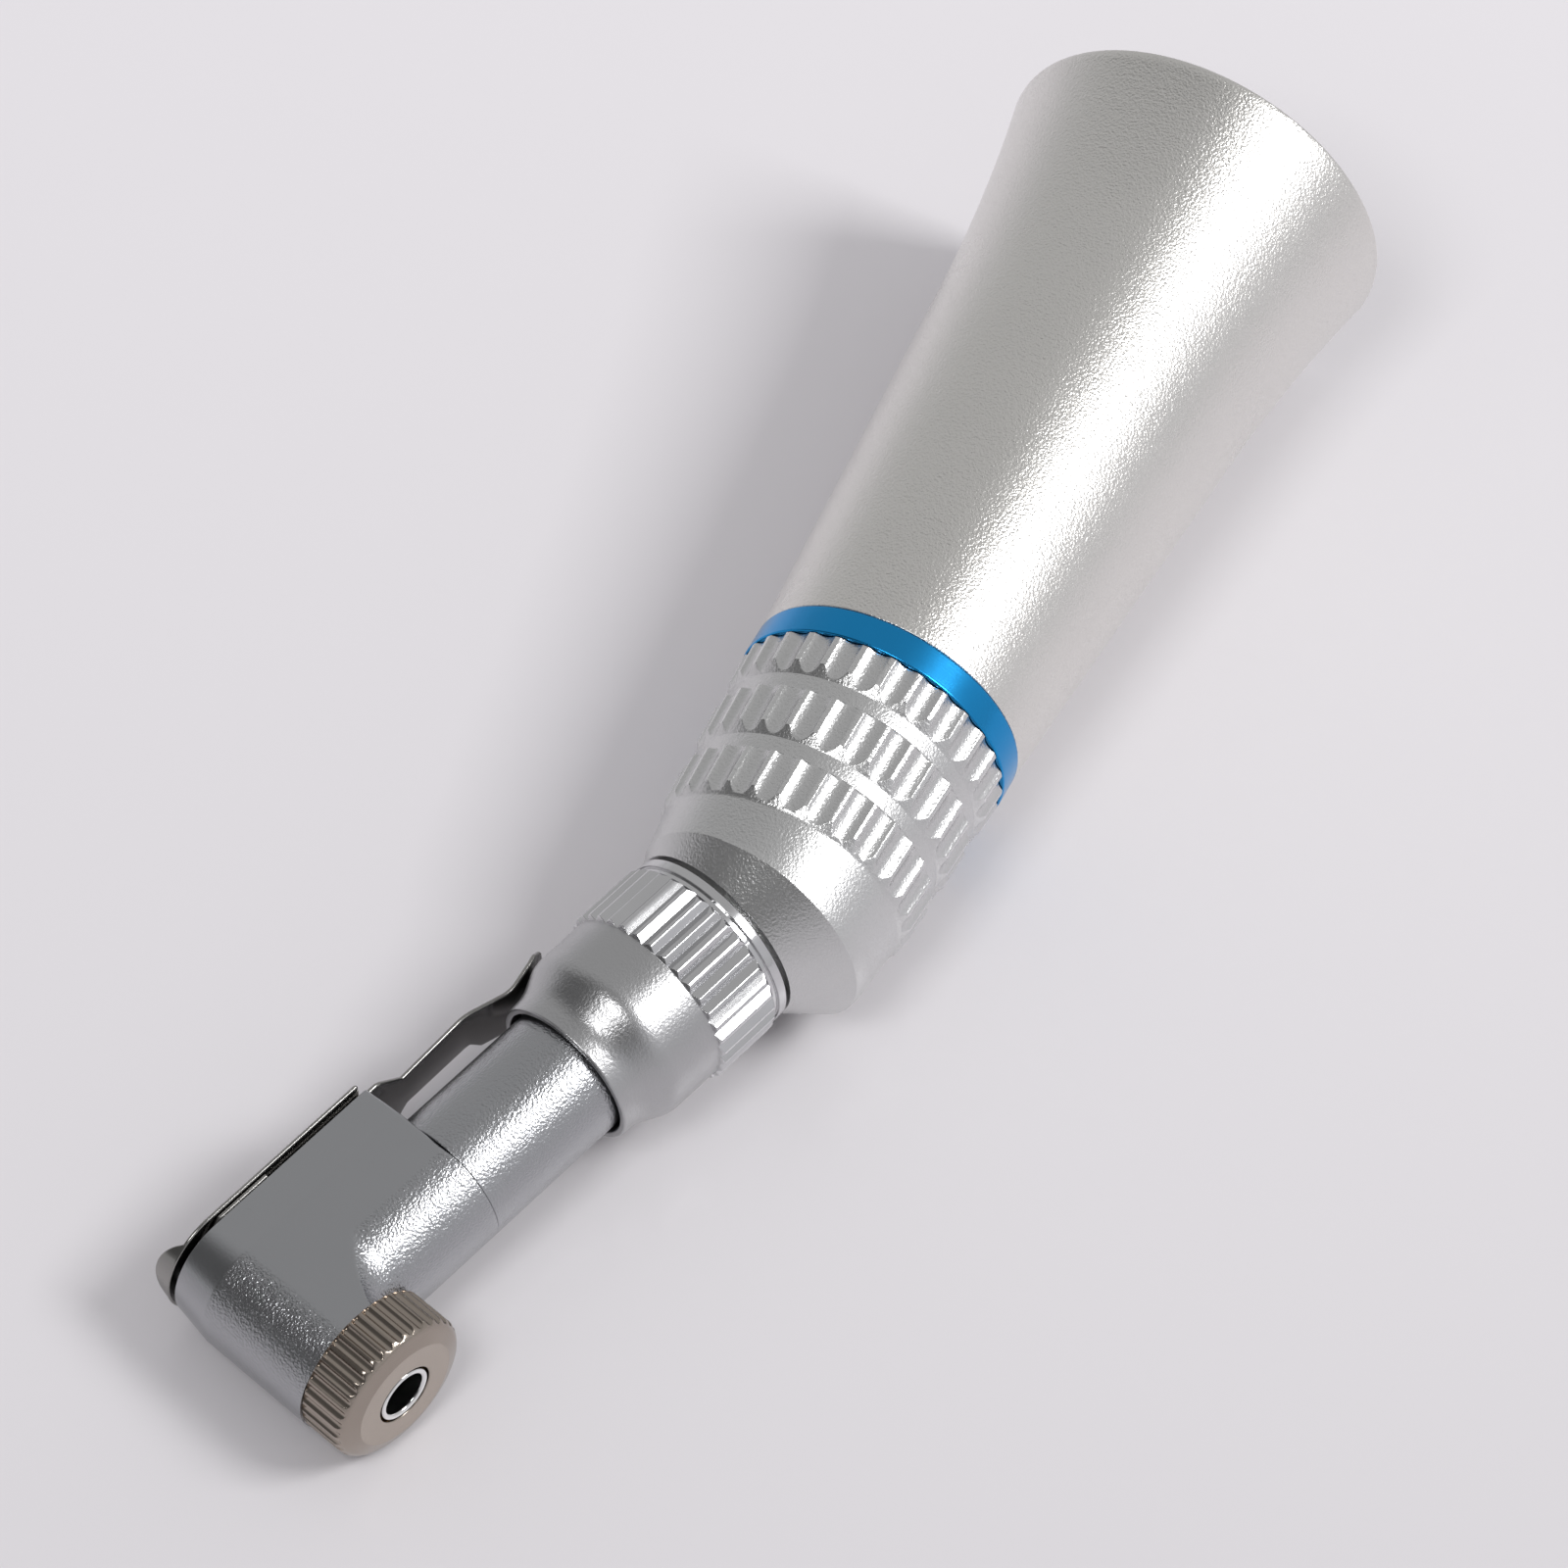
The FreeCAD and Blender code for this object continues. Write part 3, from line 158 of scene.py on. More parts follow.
class HandpieceColours(bpy.types.PropertyGroup):
    sleeve: tint("Sleeve", "Blasted aluminium", 0.78, 0.765, 0.74)
    grip: tint("Grip", "Machined aluminium", 0.66, 0.66, 0.66)
    band: tint("Band", "Anodised blue", 0.022, 0.31, 0.69)
    collar: tint("Collar", "Bright plated metal", 0.66, 0.66, 0.67)
    head: tint("Head", "Blasted steel of the neck and the head", 0.42, 0.425, 0.44)
    cap: tint("Cap", "Bronze tinted metal", 0.40, 0.348, 0.302)
    floor: tint("Floor", "Pale glossy table", 0.76, 0.74, 0.76)


# Profiles


def quarter(steps):
    """Angles spread over a quarter turn."""
    return np.linspace(0.0, QUARTER_TURN, steps)


def root(value):
    """A square root, 0 where there is none."""
    return np.sqrt(np.maximum(value, 0.0))


def rounded(corners, steps, closed=False):
    """A profile with rounded corners as an array of (along, radius).

    A corner is (along, radius) or (along, radius, rounding). A rounding is the arc that is
    tangent to both sides of its corner; two extra points just off the arc keep the flats flat.
    """
    points = [np.array(corner[:2], float) for corner in corners]
    made = []
    count = len(points)
    for i, corner in enumerate(corners):
        here = points[i]
        if len(corner) == 2 or not closed and i in (0, count - 1):
            made.append(here[None])
            continue
        back = points[i - 1] - here
        ahead = points[(i + 1) % count] - here
        back_length, ahead_length = np.linalg.norm(back), np.linalg.norm(ahead)
        back, ahead = back / back_length, ahead / ahead_length
        half = 0.5 * math.acos(float(np.clip(back @ ahead, -1.0, 1.0)))
        used = min(corner[2] / math.tan(half), 0.45 * back_length, 0.45 * ahead_length)
        radius = used * math.tan(half)
        middle = here + (back + ahead) / np.linalg.norm(back + ahead) * radius / math.sin(half)
        start, stop = here + back * used, here + ahead * used
        turn = math.pi - 2.0 * half
        share = np.linspace(0.0, 1.0, steps)[:, None]
        swing = np.sin((1.0 - share) * turn) * (start - middle) + np.sin(share * turn) * (stop - middle)
        extra = 0.12 * used
        made.append(np.vstack([start + back * extra, middle + swing / math.sin(turn),
                               stop + ahead * extra]))
    return np.vstack(made)


def arc_from(start, slope, stop, steps):
    """Points of the arc that leaves start at a slope and ends at stop, both ends left out.

    The arc's chord and the turn from the slope to the chord give its radius; points are
    spread evenly over twice that turn.
    """
    start, stop = np.array(start, float), np.array(stop, float)
    lean = math.atan(slope)
    along_way = np.array([math.cos(lean), math.sin(lean)])
    aside_way = np.array([-math.sin(lean), math.cos(lean)])
    along, aside = (stop - start) @ along_way, (stop - start) @ aside_way
    radius = (along ** 2 + aside ** 2) / (2.0 * aside)
    whole = 2.0 * math.atan2(aside, along)
    turn = np.linspace(0.0, whole, steps + 2)[1:-1, None]
    return start + radius * (np.sin(turn) * along_way + (1.0 - np.cos(turn)) * aside_way)


def filled(points, step, closed=False):
    """The same profile with points added on its long runs, no further apart than a step."""
    if closed:
        points = np.vstack([points, points[:1]])
    gaps = np.linalg.norm(np.diff(points, axis=0), axis=1)
    counts = np.maximum(1, np.ceil(gaps / step)).astype(int)
    index = np.repeat(np.arange(len(gaps)), counts)
    first = np.concatenate([[0], np.cumsum(counts)[:-1]])
    share = (np.arange(counts.sum()) - first[index]) / counts[index]
    result = points[index] + (points[index + 1] - points[index]) * share[:, None]
    return result if closed else np.vstack([result, points[-1:]])


def block_plan(rear, width, corner_r, wall, sides, sweep, inset=0.0):
    """Half the plan of a flat-sided block: rear wall, rounded corner, side, then round nose.

    wall lists how far the points of the rear wall are from the middle line, and sweep the
    angles of the nose: (centre + width x sine, width x cosine).
    """
    corner = quarter(6)
    s = np.concatenate([np.full(len(wall), rear), rear + corner_r * (1.0 - np.cos(corner)), sides,
                        NOSE_CENTRE + (width - inset) * np.sin(sweep)])
    z = np.concatenate([wall, width - corner_r * (1.0 - np.sin(corner)), np.full(len(sides), width),
                        width * np.cos(sweep)])
    return s, z


# Surfaces


def placed(local, where):
    """Points in millimetres of a drafting frame, as points of the model in metres."""
    origin, ways = where
    return origin + (local * MM) @ ways


def ring_points(along, radius, turn, where):
    """Points round an axis: (along, radius x cosine of turn, radius x sine of turn)."""
    parts = np.broadcast_arrays(along, radius * np.cos(turn), radius * np.sin(turn))
    return placed(np.stack(parts, -1), where)


def soft_least(first, second, width):
    """The smaller of two values, with the join rounded over a width."""
    mix = np.clip(0.5 + 0.5 * (second - first) / width, 0.0, 1.0)
    return second + (first - second) * mix - width * mix * (1.0 - mix)


class RoundGroove:
    """The groove of a round cutter of radius r, whose axis is at c from the turning axis.

    A ray at an angle a from the groove's middle meets the cutter at
    c cos a - root(r^2 - c^2 sin^2 a). Beyond the cutter there is no wall.
    """

    def __init__(self, axis, cutter):
        self.axis, self.cutter, self.floor = axis, cutter, axis - cutter

    def edge(self, radius):
        share = (radius ** 2 + self.axis ** 2 - self.cutter ** 2) / (2.0 * radius * self.axis)
        return np.arccos(np.clip(share, -1.0, 1.0))

    def wall(self, off):
        room = self.cutter ** 2 - (self.axis * np.sin(off)) ** 2
        return np.where(room > 0.0, self.axis * np.cos(off) - root(room), self.axis + self.cutter)


class VeeGroove:
    """A groove with flat walls that rise by m for each unit aside: f / (root(1 + m^2) cos(a + atan m)).

    f is the radius of its floor and a the angle from its middle.
    """

    def __init__(self, floor, slope):
        self.floor, self.lean, self.run = floor, math.atan(slope), math.sqrt(1.0 + slope ** 2)

    def edge(self, radius):
        share = self.floor / (radius * self.run)
        return np.maximum(0.0, np.arccos(np.clip(share, -1.0, 1.0)) - self.lean)

    def wall(self, off):
        return self.floor / (self.run * np.cos(np.abs(off) + self.lean))


def fluted(profile, ribbed, groove, whole, spread, width):
    """The angles and radii of a ring with grooves all round, cut where its rows are ribbed.

    Columns follow the grooves' edges, or the angle whole in a row that has no groove. spread
    holds the count of grooves, the first one's angle, shares from a groove's middle to its
    edge, and shares from there to the middle of the rib. The radius is the smaller of the
    profile's and the groove's wall, with the join rounded over a width.
    """
    radius = profile[:, 1:]
    count, first_turn, inner, outer = spread
    half = math.pi / count
    edge = np.where(ribbed & (radius > groove.floor), groove.edge(radius), 0.0)
    edge = np.where(edge > 0.1 * half, edge, whole)
    one = np.hstack([edge * np.array(inner), edge + (half - edge) * np.array(outer)])
    off = np.hstack([-one[:, 1:-1][:, ::-1], one])
    starts = first_turn + 2.0 * half * np.arange(count)
    turns = (starts[None, :, None] + off[:, None, :]).reshape(len(off), -1)
    wall = np.where(ribbed, groove.wall(np.tile(off, (1, count))), 99.0)
    return turns, soft_least(radius, wall, width)


def capped(strip, out=0.0):
    """A strip with a point added in the middle of each end, a little further out."""
    ends = strip[[0, -1]].mean(1, keepdims=True) * np.ones_like(strip[[0, -1]])
    ends[:, :, 0] += np.array([[out], [-out]])
    return np.vstack([ends[:1], strip, ends[1:]])


def skin(name, node, points, finish=None, closed=True, **marks):
    """One closed grid of points as the visible skin of a CAD node, in its slot's finish or another.

    Columns always join up. Rows join up too when closed, and otherwise end in a point or a
    line. A mark is a value of each point for the material to read.
    """
    rows, columns = points.shape[:2]
    index = np.arange(rows * columns).reshape(rows, columns)
    index = np.hstack([index, index[:, :1]])
    if closed:
        index = np.vstack([index, index[:1]])
    faces = np.stack([index[:-1, :-1], index[:-1, 1:], index[1:, 1:], index[1:, :-1]], -1)
    mesh = bpy.data.meshes.new(name)
    mesh.from_pydata(points.reshape(-1, 3).tolist(), [], faces.reshape(-1, 4).tolist())
    for mark, values in marks.items():
        layer = mesh.attributes.new(mark, "FLOAT", "POINT")
        layer.data.foreach_set("value", np.asarray(values, np.float32).ravel())
    work = bmesh.new()
    work.from_mesh(mesh)
    bmesh.ops.remove_doubles(work, verts=work.verts, dist=MERGE_GAP)
    bmesh.ops.recalc_face_normals(work, faces=work.faces)
    work.to_mesh(mesh)
    work.free()
    mesh.shade_smooth()
    mesh.set_sharp_from_angle(angle=CRISP_ANGLE)
    mesh.materials.append(FINISHES[finish or SLOTS[node]])
    piece = bpy.data.objects.new(name, mesh)
    bpy.context.scene.collection.objects.link(piece)
    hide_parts(node)
    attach(piece, NODES[node]["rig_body"])


def turned_skin(name, node, profile, where, columns, finish=None):
    """A closed profile carried once round an axis."""
    turns = np.linspace(0.0, 2.0 * math.pi, columns, endpoint=False)
    skin(name, node, ring_points(profile[:, :1], profile[:, 1:], turns, where), finish)


# Finishes


class Nodes:
    """A tree of shader nodes, with short ways to add and join them."""

    def __init__(self, tree):
        self.tree = tree
        tree.nodes.clear()

    def fill(self, node, inputs):
        """Give a node its inputs: each is a plain value, a colour or another node's output."""
        for key, value in inputs.items():
            socket = node.inputs[key]
            if isinstance(value, bpy.types.NodeSocket):
                self.tree.links.new(value, socket)
            elif socket.type == "RGBA":
                socket.default_value = (*value, 1.0)
            else:
                socket.default_value = value

    def add(self, kind, inputs=None, **settings):
        """A new node with its settings and inputs."""
        made = self.tree.nodes.new(kind)
        for key, value in settings.items():
            setattr(made, key, value)
        self.fill(made, inputs or {})
        return made

    def math(self, operation, *values):
        """One sum on values or other nodes' outputs."""
        return self.add("ShaderNodeMath", dict(enumerate(values)), operation=operation).outputs[0]

    def mix(self, mask, first, second):
        """A colour between two colours, by a mask."""
        return self.add("ShaderNodeMix", {0: mask, 6: first, 7: second}, data_type="RGBA").outputs[2]

    def noise(self, inputs, **settings):
        return self.add("ShaderNodeTexNoise", inputs, **settings).outputs["Fac"]

    def place(self, kind="Object"):
        return self.add("ShaderNodeTexCoord").outputs[kind]

    def along(self, place, axis):
        """How far a place or a direction is along an axis."""
        made = self.add("ShaderNodeVectorMath", {0: place, 1: tuple(axis)}, operation="DOT_PRODUCT")
        return made.outputs["Value"]

    def share(self, place, axis, start, stop, shape="LINEAR"):
        """The same, but from 0 at start to 1 at stop."""
        inputs = {"Value": self.along(place, axis), "From Min": start, "From Max": stop}
        return self.add("ShaderNodeMapRange", inputs, interpolation_type=shape).outputs["Result"]


class Finish(Nodes):
    """A new material with one surface shader."""

    def __init__(self, name):
        self.material = bpy.data.materials.new(name)
        self.material.use_nodes = True
        super().__init__(self.material.node_tree)
        self.shader = self.add("ShaderNodeBsdfPrincipled")
        self.add("ShaderNodeOutputMaterial", {"Surface": self.shader.outputs["BSDF"]})

    def shared(self, tree, value):
        """The two outputs of a shared group, for a value of its only input."""
        return self.add("ShaderNodeGroup", {0: value}, node_tree=tree).outputs[:2]

    def mark(self, name):
        return self.add("ShaderNodeAttribute", attribute_name=name).outputs["Fac"]

    def bump(self, height, strength, distance, **more):
        inputs = {"Height": height, "Strength": strength, "Distance": distance * MM, **more}
        return self.add("ShaderNodeBump", inputs).outputs["Normal"]

    def worn(self, tone, dark, colour, gloss, spread):
        """A colour and a roughness that drift together with a slow tone."""
        rough = self.math("MULTIPLY_ADD", tone, spread, gloss - 0.5 * spread)
        return self.mix(tone, dark, colour), rough

    def done(self, base, rough, **more):
        """The material, once its shader has its inputs."""
        self.fill(self.shader, {"Base Color": base, "Roughness": rough, **more})
        return self.material


def toned(colour, share):
    """A colour made darker or lighter by a share."""
    return tuple(min(1.0, share * part) for part in colour)


def new_group(name, given, default, results):
    """An empty shader group with one value in and named values out, and the value given."""
    tree = bpy.data.node_groups.new(name, "ShaderNodeTree")
    kind = "NodeSocketFloat"
    tree.interface.new_socket(name=given, in_out="INPUT", socket_type=kind).default_value = default
    for label in results:
        tree.interface.new_socket(name=label, in_out="OUTPUT", socket_type=kind)
    make = Nodes(tree)
    return make, make.add("NodeGroupInput").outputs[given]


def grain_group():
    """Blasted grain: a fine pebble height about 0, and a slow cloud of wear."""
    make, grain = new_group("Blasted grain", "Grain", 0.12, ("Height", "Cloud"))
    place = make.place()
    scale = make.math("DIVIDE", 1.0 / MM, grain)
    pebble = make.noise({"Vector": place, "Scale": scale, "Detail": 1.5, "Roughness": 0.6})
    cloud = make.noise({"Vector": place, "Scale": 180.0, "Detail": 3.0})
    make.add("NodeGroupOutput", {"Height": make.math("SUBTRACT", pebble, 0.5), "Cloud": cloud})
    return make.tree


def lathe_group(name, axis):
    """Turning marks: fine rings by the distance along an axis, and a broad tone."""
    make, spacing = new_group(name, "Spacing", 0.05, ("Height", "Tone"))
    place = make.place()
    scale = make.math("DIVIDE", 1.0 / MM, spacing)
    rings = make.noise({"W": make.along(place, axis), "Scale": scale, "Detail": 3.0},
                       noise_dimensions="1D")
    tone = make.noise({"Vector": place, "Scale": 260.0, "Detail": 4.0})
    make.add("NodeGroupOutput", {"Height": rings, "Tone": tone})
    return make.tree


def blasted_metal(grain, name, colour, size, gloss, bump, bright=None, coarse=None):
    """Bead-blasted metal: grain in the height, and a slow cloud of wear in tone and gloss.

    bright names a mark on the piece: 1 where the metal is cut bright, 0 where it is blasted.
    coarse names one that is 1 where the grain is deepest and 0 where the metal is smooth.
    """
    make = Finish(name)
    height, cloud = make.shared(grain, size)
    base, rough = make.worn(cloud, toned(colour, 0.94), colour, gloss, 0.06)
    if bright:
        mask = make.mark(bright)
        rough = make.math("MULTIPLY_ADD", mask, -0.09, rough)
        base = make.mix(mask, base, toned(colour, 1.06))
    if coarse:
        height = make.math("MULTIPLY", height, make.mark(coarse))
    return make.done(base, rough, Normal=make.bump(height, bump, 0.10), Metallic=1.0)


def turned_metal(name, lathe, colour, spacing, gloss, bump, satin=None, grain=None):
    """Bright turned metal: fine rings in the height, faint tone and gloss changes.

    satin names a mark on the piece: 1 where the metal is blasted satin, 0 where it is bright.
    """
    make = Finish(name)
    height, tone = make.shared(lathe, spacing)
    base, rough = make.worn(tone, toned(colour, 0.88), colour, gloss, 0.14)
    normal = make.bump(height, bump, 0.01)
    if satin:
        mask = make.mark(satin)
        rough = make.math("MULTIPLY_ADD", mask, 0.17, rough)
        base = make.mix(mask, base, toned(colour, 0.72))
        height = make.math("MULTIPLY", make.shared(grain, 0.15)[0], mask)
        normal = make.bump(height, 0.20, 0.10, Normal=normal)
    return make.done(base, rough, Normal=normal, Metallic=1.0)


def seal_rubber(name, grain):
    """Black rubber with a dull bloom."""
    make = Finish(name)
    height, cloud = make.shared(grain, 0.06)
    base, rough = make.worn(cloud, (0.012,) * 3, (0.03, 0.03, 0.032), 0.55, 0.2)
    return make.done(base, rough, Normal=make.bump(height, 0.2, 0.01))


# A finish for each slot of the part, and two more for pieces that differ from their slot
FINISHES = {}


class HANDPIECE_OT_finishes(bpy.types.Operator):
    """Make the metal and rubber finishes"""

    bl_idname = "handpiece.finishes"
    bl_label = "Finishes"

    def execute(self, context):
        colours = context.scene.handpiece_colours
        grain = grain_group()
        rear = lathe_group("Rear turning marks", REAR_WAY)
        neck = lathe_group("Neck turning marks", NECK_WAY)
        bur = lathe_group("Bur turning marks", BUR_WAY)
        # Name, colour, grain size in millimetres, gloss, depth, bright and coarse marks
        blasted = {
            "sleeve_satin": ("Blasted aluminium", colours.sleeve, 0.14, 0.28, 0.40),
            "grip_satin": ("Grip aluminium", colours.grip, 0.14, 0.32, 0.30, "bright"),
            "neck": ("Neck steel", colours.head, 0.14, 0.27, 0.40),
            "steel_satin": ("Head steel", colours.head, 0.14, 0.26, 0.46, None, "coarse"),
        }
        # Name, turning marks, colour, their spacing in millimetres, gloss, depth, satin mark
        turned = {
            "blue_anodised": ("Blue anodised", rear, colours.band, 0.06, 0.24, 0.12),
            "steel_collar": ("Bright collar", neck, colours.collar, 0.05, 0.14, 0.10, "satin", grain),
            "cap_bronze": ("Bronze tinted cap", bur, colours.cap, 0.05, 0.20, 0.08),
            "tube": ("Bright bur tube", bur, (0.82,) * 3, 0.04, 0.10, 0.10),
            "steel_sheet": ("Latch sheet", neck, (0.36, 0.352, 0.34), 0.08, 0.20, 0.10),
            "steel_bright": ("Screw steel", bur, (0.70, 0.70, 0.71), 0.05, 0.18, 0.10),
            "steel_dark": ("Socket steel", rear, (0.30, 0.31, 0.32), 0.05, 0.32, 0.15),
            "gear_steel": ("Gear steel", neck, (0.46,) * 3, 0.05, 0.30, 0.10),
            "bearing_steel": ("Bearing steel", rear, (0.62, 0.62, 0.63), 0.05, 0.16, 0.08),
            "bush_bronze": ("Bush bronze", neck, (0.55, 0.36, 0.18), 0.05, 0.38, 0.15),
        }
        FINISHES.update({key: blasted_metal(grain, *values) for key, values in blasted.items()})
        FINISHES.update({key: turned_metal(*values) for key, values in turned.items()})
        FINISHES["seal_rubber"] = seal_rubber("Seal rubber", grain)
        return {"FINISHED"}


# Pieces


class HANDPIECE_OT_sleeve(bpy.types.Operator):
    """Build the long flared sleeve and the blue band in front of it"""

    bl_idname = "handpiece.sleeve"
    bl_label = "Sleeve and band"

    def execute(self, context):
        size = context.scene.handpiece_sizes
        front, end = size.sleeve_front / MM, size.sleeve_end / MM
        start_r, rim_r = size.sleeve_radius / MM, size.rim_radius / MM
        inner_rim_r = rim_r - size.rim_lip / MM
        flare, nut, bulkhead = size.flare_start / MM, 35.2, 33.0
        slope, wall, thread = math.tan(size.sleeve_slope), 1.0, 7.3
        turn, rim_round, step, columns = end - 0.3, 0.26, 1.0, 320

        def cone(x):
            """Radius of the long cone."""
            return start_r + slope * (x - front)

        # A cone whose outside and inside both leave it by an arc, up to the rounded rim
        flare_r, mouth_r = cone(flare), cone(nut) - wall
        outer = arc_from((flare, flare_r), slope, (turn, rim_r), 40)
        inner = arc_from((nut, mouth_r), slope, (turn, inner_rim_r), 30)[::-1]
        edge = rounded([(turn, rim_r), (end, rim_r, rim_round), (end, inner_rim_r, rim_round),
                        (turn, inner_rim_r)], 10)
        nose = rounded([(bulkhead, SPIGOT_BORE), (front, SPIGOT_BORE, 0.03), (front, start_r, 0.06),
                        (flare, flare_r)], 5)
        back = np.array([(nut, mouth_r), (nut, thread), (bulkhead, thread)])
        profile = np.vstack([filled(nose, step), outer, edge, inner, back])
        turned_skin("sleeve_skin", "rear_sleeve", profile, REAR, columns)

        band_front, band_rear, band_r = front - size.band_width / MM, front - 0.02, start_r + 0.02
        outline = rounded([(band_front, SPIGOT_BORE, 0.05), (band_front, band_r, 0.09),
                           (band_rear, band_r, 0.09), (band_rear, SPIGOT_BORE, 0.05)], 6, closed=True)
        turned_skin("blue_band_skin", "blue_band", outline, REAR, columns)
        return {"FINISHED"}


def about_neck(x, radius, turns):
    """A point about the rear axis as (along, aside, high) of the neck, turned by the bend."""
    side, high = radius * np.cos(turns), radius * np.sin(turns)
    return -BEND_COS * x + BEND_SIN * side, -BEND_SIN * x - BEND_COS * side, high


def grip_profile(crest, rears, fronts, dome_top, dome_r):
    """The grip's outside from its spigot to the dome: three slim cones with chamfered ends.

    Each row of scallops has a short chamfer at its rear and a long one at its front, which
    has points enough to follow the scallops' edges.
    """
    spigot_x, spigot_r, step, short, long = 17.0, 6.49, 0.3, 0.15, 0.65
    margin, steps = 0.1, 8
    corners = [(spigot_x, 4.0), (spigot_x, spigot_r), (rears[0], spigot_r),
               (rears[0], crest(rears[0]), 0.05)]
    for rear, front in zip(rears, fronts):
        if rear < rears[0]:
            corners.append((rear, crest(rear) - step, 0.05))
            corners.append((rear - short, crest(rear - short), 0.06))
        corners.append((front + long, crest(front + long), 0.10))
        corners.append((front, crest(front) - step, 0.05))
    bare = rounded(corners + [(dome_top, dome_r)], 5)
    spigot, rows = bare[:3], bare[3:]
    x = np.concatenate([np.linspace(front + margin, front + long - margin, steps) for front in fronts])
    added = np.stack([x, np.interp(-x, -rows[:, 0], rows[:, 1])], 1)
    rows = np.vstack([rows, added])
    rows = rows[np.argsort(-rows[:, 0], kind="stable")]
    return filled(np.vstack([spigot, rows]), 0.25)


class HANDPIECE_OT_grip(bpy.types.Operator):
    """Build the scalloped grip, its dome and the angled front where the collar sits"""

    bl_idname = "handpiece.grip"
    bl_label = "Grip"

    def execute(self, context):
        size = context.scene.handpiece_sizes
        band_x = (size.sleeve_front - size.band_width) / MM
        crest_r, slope, tail_count, dome_rows = size.sleeve_radius / MM, 0.05, 20, 34
        depth, cutter = size.flute_depth / MM, size.flute_radius / MM
        fronts = [band_x - 2.45 - 3.87 * row for row in range(3)]
        rears = [band_x - 0.05] + [front - 0.85 for front in fronts[:-1]]
        dome_r, turn = size.dome_radius / MM, size.dome_round / MM
        dome_top = turn - 6.2
        face_s, face_r, lean = 5.0, 5.02, math.tan(math.radians(40.0))

        def crest(x):
            """Radius of the slim cone of the rib tops."""
            return crest_r - slope * (band_x - x)

        outer = grip_profile(crest, rears, fronts, dome_top, dome_r)
        sweep = quarter(60)[1:, None]
        dome = np.hstack([dome_top - turn * np.sin(sweep), dome_r - turn * (1.0 - np.cos(sweep))])
        spread = (size.flute_count, 0.0, [0.0, 0.3, 0.55, 0.78, 0.93, 1.0], [0.22, 1.0])
        whole = RoundGroove(crest_r - depth + cutter, cutter).edge(crest_r)

        # The scallops, and the bright cut tops between them
        body, tail = outer[:-tail_count], np.vstack([outer[-tail_count:], dome])
        x = body[:, :1]
        inside = sum((x < rear + 0.01) & (x > front - 0.01) for rear, front in zip(rears, fronts)) > 0
        groove = RoundGroove(crest(x) - depth + cutter, cutter)
        body_turns, radius = fluted(body, inside, groove, whole, spread, 0.016)
        body_points = ring_points(x, radius, body_turns, REAR)
        bright = np.clip((radius - crest(x) + 0.05) / 0.04, 0.0, 1.0) * (x <= rears[0] + 0.01)

        # Where each column of the dome meets the front cone about the neck's axis
        turns = body_turns[:1]
        along, aside, high = about_neck(tail[:, :1], tail[:, 1:], turns)
        beyond = np.hypot(aside, high) - face_r - (face_s - along) * lean
        hit = np.argmax(beyond > 0.0, axis=0)
        last, column = hit - 1, np.arange(turns.shape[1])
        share = beyond[last, column] / (beyond[last, column] - beyond[hit, column])
        crease = tail[last] + (tail[hit] - tail[last]) * share[:, None]

        # The dome's rows stop at the crease: each column is shrunk to end there
        steps = np.linalg.norm(np.diff(tail, axis=0), axis=1)
        walked = np.concatenate([[0.0], np.cumsum(steps)])
        wanted = np.linspace(0.0, 1.0, dome_rows)[:, None] * (walked[last] + share * steps[last])
        dome_points = ring_points(np.interp(wanted, walked, tail[:, 0]),
                                  np.interp(wanted, walked, tail[:, 1]), turns, REAR)

        # The front cone, flat face, spigot and bore, about the neck's axis
        crease_s, aside, high = about_neck(crease[:, 0], crease[:, 1], turns[0])
        crease_r = np.hypot(aside, high)
        neck_turns = np.arctan2(high, aside)
        share = np.array([0.02, 0.3, 0.6, 0.9, 0.97])[:, None]
        cone = ring_points(crease_s + (face_s - 0.03 - crease_s) * share,
                           crease_r + (face_r + 0.025 - crease_r) * share, neck_turns, NECK)
        tip, spigot_r, bore_r, room_s, room_r, room_end = 13.4, 4.2, 3.0, 3.4, 3.6, 0.6
        face = rounded([(face_s - 0.3, face_r + 0.3 * lean), (face_s, face_r, 0.05),
                        (face_s, spigot_r, 0.02), (tip, spigot_r, 0.12), (tip, bore_r, 0.05),
                        (room_s, bore_r), (room_s, room_r), (room_end, room_r)], 5)[1:]
        bore = np.array([(room_end, room_r), (room_s, room_r), (room_s, 4.0)])
        points = np.vstack([body_points, dome_points, cone,
                            ring_points(face[:, :1], face[:, 1:], neck_turns, NECK),
                            ring_points(bore[:, :1], bore[:, 1:], turns, REAR)])
        marks = np.zeros(points.shape[:2])
        marks[:len(bright)] = bright
        skin("grip_skin", "grip_body", points, bright=marks)
        return {"FINISHED"}


